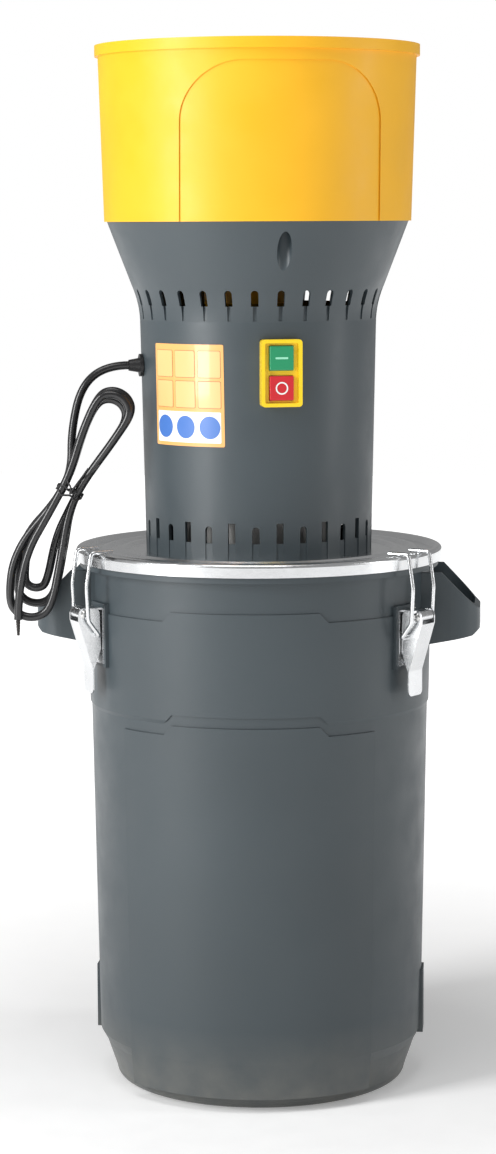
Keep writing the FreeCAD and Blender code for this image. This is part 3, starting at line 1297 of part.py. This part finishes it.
def build():
    os.makedirs("parts", exist_ok=True)
    save("drum", drum())
    for place, angle in LATCH_ANGLES.items():
        save("latch_bracket_" + place, turned(latch_bracket(), angle - 90))
        save("latch_lever_" + place, turned(latch_lever(), angle - 90))
        save("latch_bail_" + place, turned(latch_bail(), angle - 90))
    save("latch_rivets", Part.Compound([turned(latch_rivets(), angle - 90)
                                        for angle in LATCH_ANGLES.values()]))
    save("latch_pins", Part.Compound([turned(latch_pin(), angle - 90)
                                      for angle in LATCH_ANGLES.values()]))
    save("lid", lid())
    save("lid_gasket", lid_gasket())
    save("lid_screws", lid_screws())
    save("head_housing", in_head(head_housing()))
    save("head_screws", in_head(head_screws()))
    save("hopper", in_head(hopper()))
    save("feed_gate", in_head(feed_gate()))
    save("gate_knob", in_head(gate_knob()))
    save("gate_screw", in_head(gate_screw()))
    save("switch_faceplate", in_head(switch_faceplate()))
    save("switch_body", in_head(switch_body()))
    save("start_button", in_head(button(1)))
    save("stop_button", in_head(button(-1)))
    save("stator_core", in_head(stator_core()))
    save("stator_windings", in_head(stator_windings()))
    save("lower_end_shield", in_head(lower_shield()))
    save("upper_end_shield", in_head(upper_shield()))
    save("lower_bearing", in_head(bearing(LID_DECK + SHIELD_PLATE)))
    save("upper_bearing", in_head(bearing(shield_top() - BEARING_HEIGHT - 2)))
    save("motor_bolts", in_head(motor_bolts()))
    save("motor_shaft", in_head(motor_shaft()))
    save("rotor_core", in_head(rotor_core()))
    save("cooling_fan", in_head(cooling_fan()))
    save("run_capacitor", in_head(run_capacitor()))
    save("capacitor_strap", in_head(capacitor_strap()))
    save("feed_duct", in_head(feed_duct()))
    save("chamber_plate", in_head(chamber_plate()))
    save("sieve", in_head(sieve()))
    save("sieve_floor", in_head(sieve_floor()))
    save("chamber_studs", in_head(chamber_studs()))
    save("stud_nuts", in_head(stud_nuts()))
    save("knife_bars", in_head(knife_bars()))
    save("knife_hub", in_head(knife_hub()))
    save("knife_nut", in_head(knife_nut()))
    save("cord_gland", in_head(cord_gland()))
    save("cord_lead", cord_lead())
    save("cord_hank", cord_hank())
    save("hank_tie", hank_tie())
    save("cord_end", cord_end())


build()
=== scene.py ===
"""Looks of an electric grain mill: a drum for the meal, a motor head and a grain hopper on its lid.

Lengths are metres in the part's own frame: +Z up, the drum's front towards -Y, the floor at z 0.
"""
import math

import bpy
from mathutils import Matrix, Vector
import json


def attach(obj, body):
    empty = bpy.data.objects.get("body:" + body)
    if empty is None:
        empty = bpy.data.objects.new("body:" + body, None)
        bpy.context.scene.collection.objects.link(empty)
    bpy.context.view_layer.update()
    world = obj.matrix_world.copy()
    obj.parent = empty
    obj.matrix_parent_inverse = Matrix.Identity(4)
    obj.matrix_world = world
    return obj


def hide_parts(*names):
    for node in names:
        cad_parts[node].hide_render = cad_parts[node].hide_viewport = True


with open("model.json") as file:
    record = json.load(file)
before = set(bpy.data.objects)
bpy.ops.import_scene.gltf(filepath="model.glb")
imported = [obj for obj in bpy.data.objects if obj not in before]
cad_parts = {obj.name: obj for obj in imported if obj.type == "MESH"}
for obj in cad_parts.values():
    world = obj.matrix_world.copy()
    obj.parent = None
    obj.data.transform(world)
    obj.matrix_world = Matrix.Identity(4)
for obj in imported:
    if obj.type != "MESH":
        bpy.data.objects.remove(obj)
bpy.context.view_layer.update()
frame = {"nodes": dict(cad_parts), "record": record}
nodes = frame["nodes"]

# Camera
# The photograph is taken from two and a half metres away, a little above the hopper's foot, turned a
# few degrees to the drum's right and tilted down, so that the drum's base shows round.
CAMERA_DISTANCE = 2.5
CAMERA_SIDE = 5.0
CAMERA_HEIGHT = 0.734
CAMERA_TILT = 6.9
CAMERA_LENS = 91.7
AIM_LEFT = 0.0095
CAMERA_ROLL = -0.25


def from_front(radius, degrees, height):
    """Point at a distance from the axis, at an angle counted from the drum's front to its right."""
    angle = math.radians(degrees)
    return Vector((radius * math.sin(angle), -radius * math.cos(angle), height))


camera_data = bpy.data.cameras.new("camera")
camera_data.lens = CAMERA_LENS
camera = bpy.data.objects.new("camera", camera_data)
bpy.context.scene.collection.objects.link(camera)
camera.location = from_front(CAMERA_DISTANCE, CAMERA_SIDE, CAMERA_HEIGHT)
aim = from_front(AIM_LEFT, CAMERA_SIDE - 90.0,
                 CAMERA_HEIGHT - CAMERA_DISTANCE * math.tan(math.radians(CAMERA_TILT)))
camera.rotation_euler = (aim - camera.location).to_track_quat("-Z", "Y").to_euler()
camera.rotation_euler.rotate_axis("Z", math.radians(CAMERA_ROLL))
bpy.context.scene.camera = camera
bpy.context.scene.view_settings.view_transform = "Standard"

# Materials
# Each real material is made once: a base colour with slow mottling, fine grain that roughens and dents
# the surface, and where the real one has them, streaks of handling, spangle, dust or a clear gloss.
NOISE_LOW = 0.3
NOISE_HIGH = 0.7
SPANGLE_SCALE = 140.0
SPANGLE_SHADE = 0.62
SCRATCH_SCALE = 60.0
SCRATCH_STRETCH = (1.0, 1.0, 9.0)
DUST_HEIGHT = 0.07
DUST_SCALE = 38.0
DUST_COLOUR = (0.42, 0.38, 0.31)


def add_noise(tree, coordinates, scale, detail, stretch=(1, 1, 1)):
    """Noise from 0 to 1; a stretch above 1 draws it out finer along that axis."""
    mapping = tree.nodes.new("ShaderNodeMapping")
    mapping.inputs["Scale"].default_value = stretch
    tree.links.new(coordinates, mapping.inputs["Vector"])
    noise = tree.nodes.new("ShaderNodeTexNoise")
    noise.inputs["Scale"].default_value = scale
    noise.inputs["Detail"].default_value = detail
    tree.links.new(mapping.outputs["Vector"], noise.inputs["Vector"])
    return noise.outputs["Fac"]


def add_range(tree, value, from_low, from_high, to_low, to_high):
    """Value carried from one range to another, and held at its ends."""
    node = tree.nodes.new("ShaderNodeMapRange")
    node.inputs["From Min"].default_value = from_low
    node.inputs["From Max"].default_value = from_high
    node.inputs["To Min"].default_value = to_low
    node.inputs["To Max"].default_value = to_high
    tree.links.new(value, node.inputs["Value"])
    return node.outputs["Result"]


def add_mix(tree, factor, first, second, blend="MIX"):
    """Mix of two colours; each is a socket or a plain (r, g, b)."""
    node = tree.nodes.new("ShaderNodeMix")
    node.data_type = "RGBA"
    node.blend_type = blend
    sockets = [item for item in node.inputs if item.type == "RGBA"]
    for socket, colour in zip(sockets, (first, second)):
        if isinstance(colour, tuple):
            socket.default_value = colour + (1.0,)
        else:
            tree.links.new(colour, socket)
    tree.links.new(factor, node.inputs["Factor"])
    return [item for item in node.outputs if item.type == "RGBA"][0]


def make_material(name, colour, roughness, metallic=0.0, mottle=0.12, mottle_scale=9.0, grain_scale=900.0,
                  grain=0.00004, streaks=0.0, spangle=0.0, dust=0.0, gloss=0.0):
    """Material from its colour and the wear that it shows; grain is the dents' depth in metres."""
    material = bpy.data.materials.new(name)
    material.use_nodes = True
    tree = material.node_tree
    shader = tree.nodes["Principled BSDF"]
    place = tree.nodes.new("ShaderNodeTexCoord").outputs["Object"]
    slow = add_noise(tree, place, mottle_scale, 3.0)
    darker = tuple(channel * (1.0 - mottle) for channel in colour)
    lighter = tuple(min(1.0, channel * (1.0 + mottle)) for channel in colour)
    shade = add_mix(tree, add_range(tree, slow, NOISE_LOW, NOISE_HIGH, 0.0, 1.0), darker, lighter)
    wear = add_noise(tree, place, mottle_scale * 4.0, 5.0)
    rough = add_range(tree, wear, NOISE_LOW, NOISE_HIGH, roughness * 0.85,
                      min(1.0, roughness * 1.15))
    if spangle:
        cells = tree.nodes.new("ShaderNodeTexVoronoi")
        cells.inputs["Scale"].default_value = SPANGLE_SCALE
        tree.links.new(place, cells.inputs["Vector"])
        grey = tree.nodes.new("ShaderNodeRGBToBW")
        tree.links.new(cells.outputs["Color"], grey.inputs["Color"])
        flake = add_range(tree, grey.outputs["Val"], 0.0, 1.0, 0.0, spangle)
        shade = add_mix(tree, flake, shade, tuple(channel * SPANGLE_SHADE for channel in colour))
    if streaks:
        scratch = add_noise(tree, place, SCRATCH_SCALE, 8.0, SCRATCH_STRETCH)
        mark = add_range(tree, scratch, 0.60, 0.72, 0.0, streaks)
        bared = tuple(min(1.0, channel * 1.35 + 0.02) for channel in colour)
        shade = add_mix(tree, mark, shade, bared)
        rub = tree.nodes.new("ShaderNodeMath")
        rub.operation = "ADD"
        tree.links.new(rough, rub.inputs[0])
        tree.links.new(add_range(tree, scratch, 0.55, 0.75, 0.0, streaks * 0.5), rub.inputs[1])
        rough = rub.outputs[0]
    if dust:
        split = tree.nodes.new("ShaderNodeSeparateXYZ")
        tree.links.new(place, split.inputs["Vector"])
        low = add_range(tree, split.outputs["Z"], 0.0, DUST_HEIGHT, dust, 0.0)
        patchy = tree.nodes.new("ShaderNodeMath")
        patchy.operation = "MULTIPLY"
        tree.links.new(low, patchy.inputs[0])
        tree.links.new(add_noise(tree, place, DUST_SCALE, 6.0), patchy.inputs[1])
        shade = add_mix(tree, patchy.outputs[0], shade, DUST_COLOUR)
    bump = tree.nodes.new("ShaderNodeBump")
    bump.inputs["Distance"].default_value = grain
    tree.links.new(add_noise(tree, place, grain_scale, 2.0), bump.inputs["Height"])
    tree.links.new(shade, shader.inputs["Base Color"])
    tree.links.new(rough, shader.inputs["Roughness"])
    tree.links.new(bump.outputs["Normal"], shader.inputs["Normal"])
    shader.inputs["Metallic"].default_value = metallic
    shader.inputs["Coat Weight"].default_value = gloss
    return material


materials = {
    "grey_plastic": make_material("grey_plastic", (0.045, 0.059, 0.067), 0.42, streaks=0.04, dust=0.35,
                                  grain=0.00006, mottle=0.06),
    "yellow_plastic": make_material("yellow_plastic", (0.86, 0.44, 0.007), 0.48, mottle=0.05, streaks=0.05),
    "yellow_gloss": make_material("yellow_gloss", (0.90, 0.62, 0.012), 0.28, mottle=0.03, gloss=0.4),
    "green_plastic": make_material("green_plastic", (0.012, 0.26, 0.11), 0.35, gloss=0.3),
    "red_plastic": make_material("red_plastic", (0.56, 0.012, 0.02), 0.35, gloss=0.3),
    "black_plastic": make_material("black_plastic", (0.012, 0.012, 0.013), 0.4),
    "tin_sheet": make_material("tin_sheet", (0.78, 0.79, 0.80), 0.24, metallic=1.0, spangle=0.14, mottle=0.04,
                               streaks=0.05, grain=0.00003, grain_scale=260.0),
    "rubber": make_material("rubber", (0.02, 0.02, 0.021), 0.8, grain=0.00008),
    "zinc_steel": make_material("zinc_steel", (0.70, 0.71, 0.72), 0.25, metallic=1.0, mottle=0.06,
                                streaks=0.05, mottle_scale=40.0),
    "bright_steel": make_material("bright_steel", (0.66, 0.66, 0.65), 0.22, metallic=1.0, streaks=0.3),
    "core_steel": make_material("core_steel", (0.25, 0.25, 0.26), 0.5, metallic=0.9, grain=0.0001),
    "copper_enamel": make_material("copper_enamel", (0.45, 0.13, 0.04), 0.35, metallic=0.7, grain=0.0004,
                                   grain_scale=420.0),
    "cast_aluminium": make_material("cast_aluminium", (0.55, 0.55, 0.54), 0.55, metallic=0.9, grain=0.0002),
    "cord_black": make_material("cord_black", (0.010, 0.010, 0.011), 0.30, mottle=0.2, streaks=0.15,
                                gloss=0.25),
    "tie_black": make_material("tie_black", (0.014, 0.014, 0.015), 0.45),
    "core_wire": make_material("core_wire", (0.02, 0.017, 0.015), 0.55, grain=0.0003, grain_scale=700.0),
}
for part in frame["record"]["subparts"]:
    mesh = nodes[part["node"]].data
    mesh.materials.clear()
    mesh.materials.append(materials[part["material_slot"]])


def add_piece(name, vertices, faces, material, body="root", smooth=True):
    """Piece from a mesh in place; it rides on a body."""
    mesh = bpy.data.meshes.new(name)
    mesh.from_pydata([tuple(vertex) for vertex in vertices], [], faces)
    mesh.materials.append(material)
    for face in mesh.polygons:
        face.use_smooth = smooth
    piece = bpy.data.objects.new(name, mesh)
    bpy.context.scene.collection.objects.link(piece)
    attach(piece, body)
    return piece


# Mains cord, its hank, tie and bared end
# A black, glossy rubber-sheathed lead comes out of a gland in the motor head and is put away as a
# hank: three turns drawn together by a wire tie, with the stripped end left hanging in the loops.
CORD_DIAMETER = 0.007
LID_RADIUS = 0.156
GLAND_HEIGHT = 0.614
GLAND_TIP = 0.1112
HEAD_TURN = 15.5
HANK_TURN = 5.0
HANK_FORWARD = 0.0325
HANK_LAYER = 0.0079
HANK_WAIST = (-LID_RADIUS - 0.0024, GLAND_HEIGHT - 0.104, 28.0)
HANK_LOBE = (-LID_RADIUS - 0.0357, GLAND_HEIGHT - 0.1915, 10.0)
HANK_START = (-LID_RADIUS - 0.0013, GLAND_HEIGHT - 0.054)
HANK_END = (-LID_RADIUS - 0.0463, GLAND_HEIGHT - 0.211)
LEAD_BEND = (0.007 - LID_RADIUS, GLAND_HEIGHT - 0.017, 0.029)
HANK_COLUMN = 0.0065
HANK_TURNS = ((0.017, 0.002, 0.009, 0.0765, 0.016), (0.010, 0.001, 0.016, 0.071, 0.0145),
              (0.0185, 0.0, 0.0, 0.075, 0.0155))
OCTAGON = math.tan(math.radians(22.5))
GLAND_STRAIGHT = 0.019
TIE_STRAIGHT = 0.014
LOBE_SHOULDER = 0.035
CLIMB_END = 0.058
CLIMB_START = 0.050
CLIMB_COLUMN = 0.0135


def hank_point(x, z, forward=HANK_FORWARD):
    """Point beside the lid, with x and forward turned with the hank about the drum's axis."""
    angle = math.radians(HANK_TURN)
    return Vector((x * math.cos(angle) + forward * math.sin(angle),
                   x * math.sin(angle) - forward * math.cos(angle), z))


def in_hank(part, along, across, layer):
    """Point of the hank beside the middle of its waist or its lower lobe, layers towards the front."""
    x, z, lean = part
    up = math.radians(lean)
    return hank_point(x + along * math.sin(up) + across * math.cos(up),
                      z + along * math.cos(up) - across * math.sin(up), HANK_FORWARD + layer * HANK_LAYER)


def round_end(part, reach, shift, radius, layer):
    """Four corners that carry the cord round a lobe's end, in the order that it runs."""
    way = math.copysign(1.0, radius)
    size = abs(radius)
    return [in_hank(part, reach - way * size * OCTAGON, shift - radius, layer),
            in_hank(part, reach - way * size, shift - radius * OCTAGON, layer),
            in_hank(part, reach - way * size, shift + radius * OCTAGON, layer),
            in_hank(part, reach - way * size * OCTAGON, shift + radius, layer)]


cord_exit = from_front(GLAND_TIP, HEAD_TURN - 90.0, GLAND_HEIGHT)
cord_points = [cord_exit, from_front(GLAND_TIP + GLAND_STRAIGHT, HEAD_TURN - 90.0, GLAND_HEIGHT),
               hank_point(*LEAD_BEND), hank_point(*HANK_START)]
for layer, (radius, shift, shorter, reach, top_radius) in enumerate(HANK_TURNS):
    cord_points += [in_hank(HANK_WAIST, TIE_STRAIGHT, -HANK_COLUMN, layer),
                    in_hank(HANK_WAIST, -TIE_STRAIGHT, -HANK_COLUMN, layer),
                    in_hank(HANK_LOBE, shorter + LOBE_SHOULDER, shift - radius - 0.0015, layer)]
    cord_points += round_end(HANK_LOBE, shorter, shift, radius, layer)
    cord_points += [in_hank(HANK_LOBE, shorter + LOBE_SHOULDER, shift + radius + 0.0010, layer),
                    in_hank(HANK_WAIST, -TIE_STRAIGHT, HANK_COLUMN, layer),
                    in_hank(HANK_WAIST, TIE_STRAIGHT, HANK_COLUMN, layer),
                    in_hank(HANK_WAIST, CLIMB_END, CLIMB_COLUMN, layer + 1)]
    cord_points += round_end(HANK_WAIST, reach, 0.0, -top_radius, layer + 1)
    cord_points += [in_hank(HANK_WAIST, CLIMB_START, -CLIMB_COLUMN, layer + 1)]
last_layer = len(HANK_TURNS)
cord_end_point = hank_point(*HANK_END, HANK_FORWARD + last_layer * HANK_LAYER)
cord_points += [in_hank(HANK_WAIST, TIE_STRAIGHT, -HANK_COLUMN, last_layer),
                in_hank(HANK_WAIST, -TIE_STRAIGHT, -HANK_COLUMN, last_layer),
                cord_end_point + Vector((0.001, 0, 0.045)), cord_end_point]

cord_curve = bpy.data.curves.new("mains_cord", "CURVE")
cord_curve.dimensions = "3D"
cord_curve.bevel_depth = CORD_DIAMETER / 2
cord_curve.bevel_resolution = 6
cord_curve.resolution_u = 10
spline = cord_curve.splines.new("NURBS")
spline.points.add(len(cord_points) - 1)
for point, place in zip(spline.points, cord_points):
    point.co = (*place, 1.0)
spline.order_u = 3
spline.use_endpoint_u = True
cord_curve.materials.append(materials["cord_black"])
cord = bpy.data.objects.new("mains_cord", cord_curve)
bpy.context.scene.collection.objects.link(cord)
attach(cord, "root")
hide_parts("cord_lead", "cord_hank")


def add_wire(name, points, radius, material, resolution=6):
    """Round wire or strand along control points, as a smooth curve."""
    curve = bpy.data.curves.new(name, "CURVE")
    curve.dimensions = "3D"
    curve.bevel_depth = radius
    curve.bevel_resolution = 3
    curve.resolution_u = resolution
    line = curve.splines.new("NURBS")
    line.points.add(len(points) - 1)
    for point, place in zip(line.points, points):
        point.co = (*place, 1.0)
    line.order_u = 3
    line.use_endpoint_u = True
    curve.materials.append(material)
    piece = bpy.data.objects.new(name, curve)
    bpy.context.scene.collection.objects.link(piece)
    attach(piece, "root")
    return piece


TIE_WIRE = 0.0009
TIE_POINTS = 26
TIE_WANDER = 0.0022
TIE_SLANT = 0.004
TIE_SQUARE = 1.25
tie_middle = last_layer / 2
half_wide = HANK_COLUMN + CORD_DIAMETER / 2 + TIE_WIRE
half_layers = last_layer / 2 + (CORD_DIAMETER / 2 + TIE_WIRE) / HANK_LAYER
tie_points = []
for number in range(TIE_POINTS):
    angle = math.radians(-60.0 + 18.0 * number)
    wave = TIE_WANDER * math.sin(number * 2.1)
    slant = TIE_SLANT * (number / 13.0 - 1.0) * math.cos(angle)
    across = half_wide * max(-1.0, min(1.0, TIE_SQUARE * math.sin(angle)))
    forward = half_layers * max(-1.0, min(1.0, TIE_SQUARE * math.cos(angle)))
    tie_points.append(in_hank(HANK_WAIST, wave + slant, across, tie_middle + forward))
tie_front = tie_middle + half_layers + 0.15
tail_root = in_hank(HANK_WAIST, 0.0, 0.001, tie_front)
tie_points.append(tail_root)
tie = add_wire("hank_tie_wire", tie_points, TIE_WIRE, materials["tie_black"])
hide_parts("hank_tie")
TAILS = ((0.010, -0.006, 0.6), (0.026, 0.005, 0.9), (0.033, 0.012, 0.4))
for number, (up, side, out) in enumerate(TAILS):
    bent = [tail_root, in_hank(HANK_WAIST, up * 0.5, side * 0.2 + 0.002, tie_front + out * 0.5),
            in_hank(HANK_WAIST, up * 0.8, side * 0.9, tie_front + out * 0.3),
            in_hank(HANK_WAIST, up, side, tie_front + out * 0.2)]
    tail = add_wire("tie_tail_%d" % number, bent, TIE_WIRE * 0.8, materials["tie_black"])
CORE_RADIUS = 0.0010
CORE_SPREAD = 0.0017
CORE_STEP = 0.0019
for number in range(3):
    twist = []
    for step in range(9):
        angle = math.radians(120.0 * number + 100.0 * step)
        spread = CORE_SPREAD * (1.0 - step / 10.0)
        offset = Vector((spread * math.cos(angle), spread * math.sin(angle), 0.002 - CORE_STEP * step))
        twist.append(cord_end_point + offset)
    core = add_wire("bared_core_%d" % number, twist, CORE_RADIUS, materials["core_wire"])
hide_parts("cord_end")

# Label on the head
# A thin vinyl sticker, pressed on the left front of the housing's round wall. It has blank cells on an
# orange field, and a white band with three plain discs below.
STICKER_CENTRE = -32.6
STICKER_LOW = 0.550
STICKER_HIGH = 0.634
STICKER_HALF = 0.0365
HOUSING_FOOT_RADIUS = 0.096
HOUSING_NECK_RADIUS = 0.100
LID_DECK = 0.456
HOUSING_NECK_HEIGHT = 0.652
STICKER_LIFT = 0.00035
STICKER_CORNER = 0.0012
BORDER = 0.003


def wrapped(name, middle, low, high, half, corner, lift, material, rows=28, columns=26):
    """Patch with round corners on the housing's wall; middle is metres along the wall from the centre."""
    vertices = []
    for row in range(rows + 1):
        z = low + (high - low) * (1.0 - math.cos(math.pi * row / rows)) / 2
        edge = min(z - low, high - z)
        width = half
        if edge < corner:
            width = half - corner + math.sqrt(max(0.0, corner ** 2 - (corner - edge) ** 2))
        rise = (z - LID_DECK) / (HOUSING_NECK_HEIGHT - LID_DECK)
        radius = HOUSING_FOOT_RADIUS + rise * (HOUSING_NECK_RADIUS - HOUSING_FOOT_RADIUS)
        for column in range(columns + 1):
            along = middle + width * (2.0 * column / columns - 1.0)
            vertices.append(from_front(radius + lift, STICKER_CENTRE + math.degrees(along / radius), z))
    faces = []
    for row in range(rows):
        for column in range(columns):
            start = row * (columns + 1) + column
            faces.append((start, start + 1, start + columns + 2, start + columns + 1))
    return add_piece(name, vertices, faces, material)


label_orange = make_material("label_orange", (0.86, 0.42, 0.13), 0.32, mottle=0.03, gloss=0.3)
label_cell = make_material("label_cell", (0.90, 0.50, 0.20), 0.32, mottle=0.03, gloss=0.3)
label_line = make_material("label_line", (0.30, 0.13, 0.04), 0.4)
label_white = make_material("label_white", (0.86, 0.86, 0.88), 0.32, mottle=0.02, gloss=0.3)
label_blue = make_material("label_blue", (0.06, 0.17, 0.50), 0.32, mottle=0.03, gloss=0.3)
wrapped("label_backing", 0.0, STICKER_LOW, STICKER_HIGH, STICKER_HALF, STICKER_CORNER,
        STICKER_LIFT, label_orange)
STEP_LIFT = 0.00012
BAND_HIGH = STICKER_LOW + 0.0285
wrapped("label_band", 0.0, STICKER_LOW + BORDER, BAND_HIGH, STICKER_HALF - BORDER, 0.001,
        STICKER_LIFT + STEP_LIFT, label_white)
CELL = 0.0210
CELL_PITCH = CELL + 0.0025
ROW_PITCH = CELL + 0.0040
RIM = 0.0004
for row in range(2):
    for column in (-1, 0, 1):
        low = BAND_HIGH + 0.0030 + row * ROW_PITCH
        wrapped("label_rim_%d_%d" % (row, column + 1), column * CELL_PITCH, low, low + CELL + 0.0015,
                CELL / 2, 0.001, STICKER_LIFT + STEP_LIFT, label_line, 8, 8)
        wrapped("label_cell_%d_%d" % (row, column + 1), column * CELL_PITCH, low + RIM,
                low + CELL + 0.0011, CELL / 2 - RIM, 0.0008, STICKER_LIFT + 2 * STEP_LIFT,
                label_cell, 8, 8)
DISC = 0.0094
for column in (-1, 0, 1):
    middle_height = (STICKER_LOW + BORDER + BAND_HIGH) / 2
    wrapped("label_disc_%d" % (column + 1), column * CELL_PITCH, middle_height - DISC,
            middle_height + DISC, DISC, DISC, STICKER_LIFT + 2 * STEP_LIFT, label_blue, 20, 14)

# Switch marks
# The start button carries a light bar and the stop button a ring, both moulded a hair proud of the
# button's face in white plastic, so that they move with it.
mark_white = make_material("mark_white", (0.80, 0.82, 0.80), 0.4)
mark_green = make_material("mark_green", (0.30, 0.72, 0.50), 0.4)
MARK_LIFT = 0.00015
head_front = from_front(1.0, HEAD_TURN, 0.0)
head_right = from_front(1.0, HEAD_TURN + 90.0, 0.0)


def button_face(node):
    """Middle of a button's face, from the vertices of its CAD node."""
    points = [vertex.co for vertex in nodes[node].data.vertices]
    out = max(point.dot(head_front) for point in points)
    heights = [point.z for point in points]
    return head_front * (out + MARK_LIFT) + Vector((0, 0, (min(heights) + max(heights)) / 2))


def add_mark(name, node, outline, inner, material, body):
    """Flat mark between two outlines given as steps to the side and up; inner may be empty."""
    centre = button_face(node)
    outer = [centre + head_right * side + Vector((0, 0, up)) for side, up in outline]
    if not inner:
        return add_piece(name, outer, [tuple(range(len(outer)))], material, body, smooth=False)
    hole = [centre + head_right * side + Vector((0, 0, up)) for side, up in inner]
    count = len(outer)
    faces = [(i, (i + 1) % count, count + (i + 1) % count, count + i) for i in range(count)]
    return add_piece(name, outer + hole, faces, material, body, smooth=False)


def circle_steps(radius, count=48):
    """Round outline as steps to the side and up."""
    return [(radius * math.cos(2 * math.pi * i / count), radius * math.sin(2 * math.pi * i / count))
            for i in range(count)]


BAR_HALF = 0.0052
BAR_THICK = 0.0008
RING_OUTER = 0.0052
RING_INNER = 0.0040
bar = [(-BAR_HALF, -BAR_THICK), (BAR_HALF, -BAR_THICK), (BAR_HALF, BAR_THICK), (-BAR_HALF, BAR_THICK)]
add_mark("start_mark", "start_button", bar, [], mark_green, "start_button")
add_mark("stop_mark", "stop_button", circle_steps(RING_OUTER), circle_steps(RING_INNER), mark_white,
         "stop_button")

# Floor, light and background
# A pale floor that runs on behind the mill, a wide soft lamp on the left that models the round walls,
# a dimmer one on the right, and a background that is white to the camera and dimmer as a light.
FLOOR_HALF = 6.0
GLOW_FROM = 0.25
GLOW_TO = 1.6
GLOW_NEAR = 0.20
LAMP_AIM = (0, 0, 0.45)
floor_material = make_material("floor", (0.93, 0.93, 0.93), 0.75, mottle=0.01)
floor_tree = floor_material.node_tree
floor_shader = floor_tree.nodes["Principled BSDF"]
away = floor_tree.nodes.new("ShaderNodeVectorMath")
away.operation = "LENGTH"
floor_tree.links.new(floor_tree.nodes.new("ShaderNodeTexCoord").outputs["Object"], away.inputs[0])
floor_shader.inputs["Emission Color"].default_value = (1, 1, 1, 1)
floor_tree.links.new(add_range(floor_tree, away.outputs["Value"], GLOW_FROM, GLOW_TO, GLOW_NEAR, 1.0),
                     floor_shader.inputs["Emission Strength"])
floor_mesh = bpy.data.meshes.new("floor")
floor_mesh.from_pydata([(-FLOOR_HALF, -FLOOR_HALF, 0), (FLOOR_HALF, -FLOOR_HALF, 0),
                        (FLOOR_HALF, FLOOR_HALF, 0), (-FLOOR_HALF, FLOOR_HALF, 0)], [], [(0, 1, 2, 3)])
floor_mesh.materials.append(floor_material)
floor = bpy.data.objects.new("floor", floor_mesh)
bpy.context.scene.collection.objects.link(floor)


def add_lamp(name, angle, distance, height, size, power):
    """Oblong lamp that faces the mill; its angle is counted from the drum's front to its right."""
    data = bpy.data.lights.new(name, "AREA")
    data.shape = "RECTANGLE"
    data.size, data.size_y = size
    data.energy = power
    lamp = bpy.data.objects.new(name, data)
    bpy.context.scene.collection.objects.link(lamp)
    lamp.location = from_front(distance, angle, height)
    lamp.rotation_euler = (Vector(LAMP_AIM) - lamp.location).to_track_quat("-Z", "Y").to_euler()
    return lamp


left_lamp = add_lamp("left_lamp", -50, 2.0, 1.1, (0.6, 1.5), 40)
right_lamp = add_lamp("right_lamp", 85, 2.2, 1.0, (0.4, 1.4), 9)
top_lamp = add_lamp("top_lamp", -10, 0.7, 2.3, (1.2, 0.9), 12)

WORLD_LIGHT = 0.22
WORLD_REFLECTED = 0.30
world = bpy.data.worlds.new("studio")
bpy.context.scene.world = world
world.use_nodes = True
tree = world.node_tree
dim = tree.nodes["Background"]
dim.inputs["Color"].default_value = (1, 1, 1, 1)
dim.inputs["Strength"].default_value = WORLD_LIGHT
bright = tree.nodes.new("ShaderNodeBackground")
bright.inputs["Color"].default_value = (1, 1, 1, 1)
bright.inputs["Strength"].default_value = 1.0
glossy = tree.nodes.new("ShaderNodeBackground")
glossy.inputs["Color"].default_value = (1, 1, 1, 1)
glossy.inputs["Strength"].default_value = WORLD_REFLECTED
rays = tree.nodes.new("ShaderNodeLightPath")
seen = tree.nodes.new("ShaderNodeMixShader")
mirrored = tree.nodes.new("ShaderNodeMixShader")
tree.links.new(rays.outputs["Is Glossy Ray"], mirrored.inputs[0])
tree.links.new(dim.outputs[0], mirrored.inputs[1])
tree.links.new(glossy.outputs[0], mirrored.inputs[2])
tree.links.new(rays.outputs["Is Camera Ray"], seen.inputs[0])
tree.links.new(mirrored.outputs[0], seen.inputs[1])
tree.links.new(bright.outputs[0], seen.inputs[2])
tree.links.new(seen.outputs[0], tree.nodes["World Output"].inputs["Surface"])
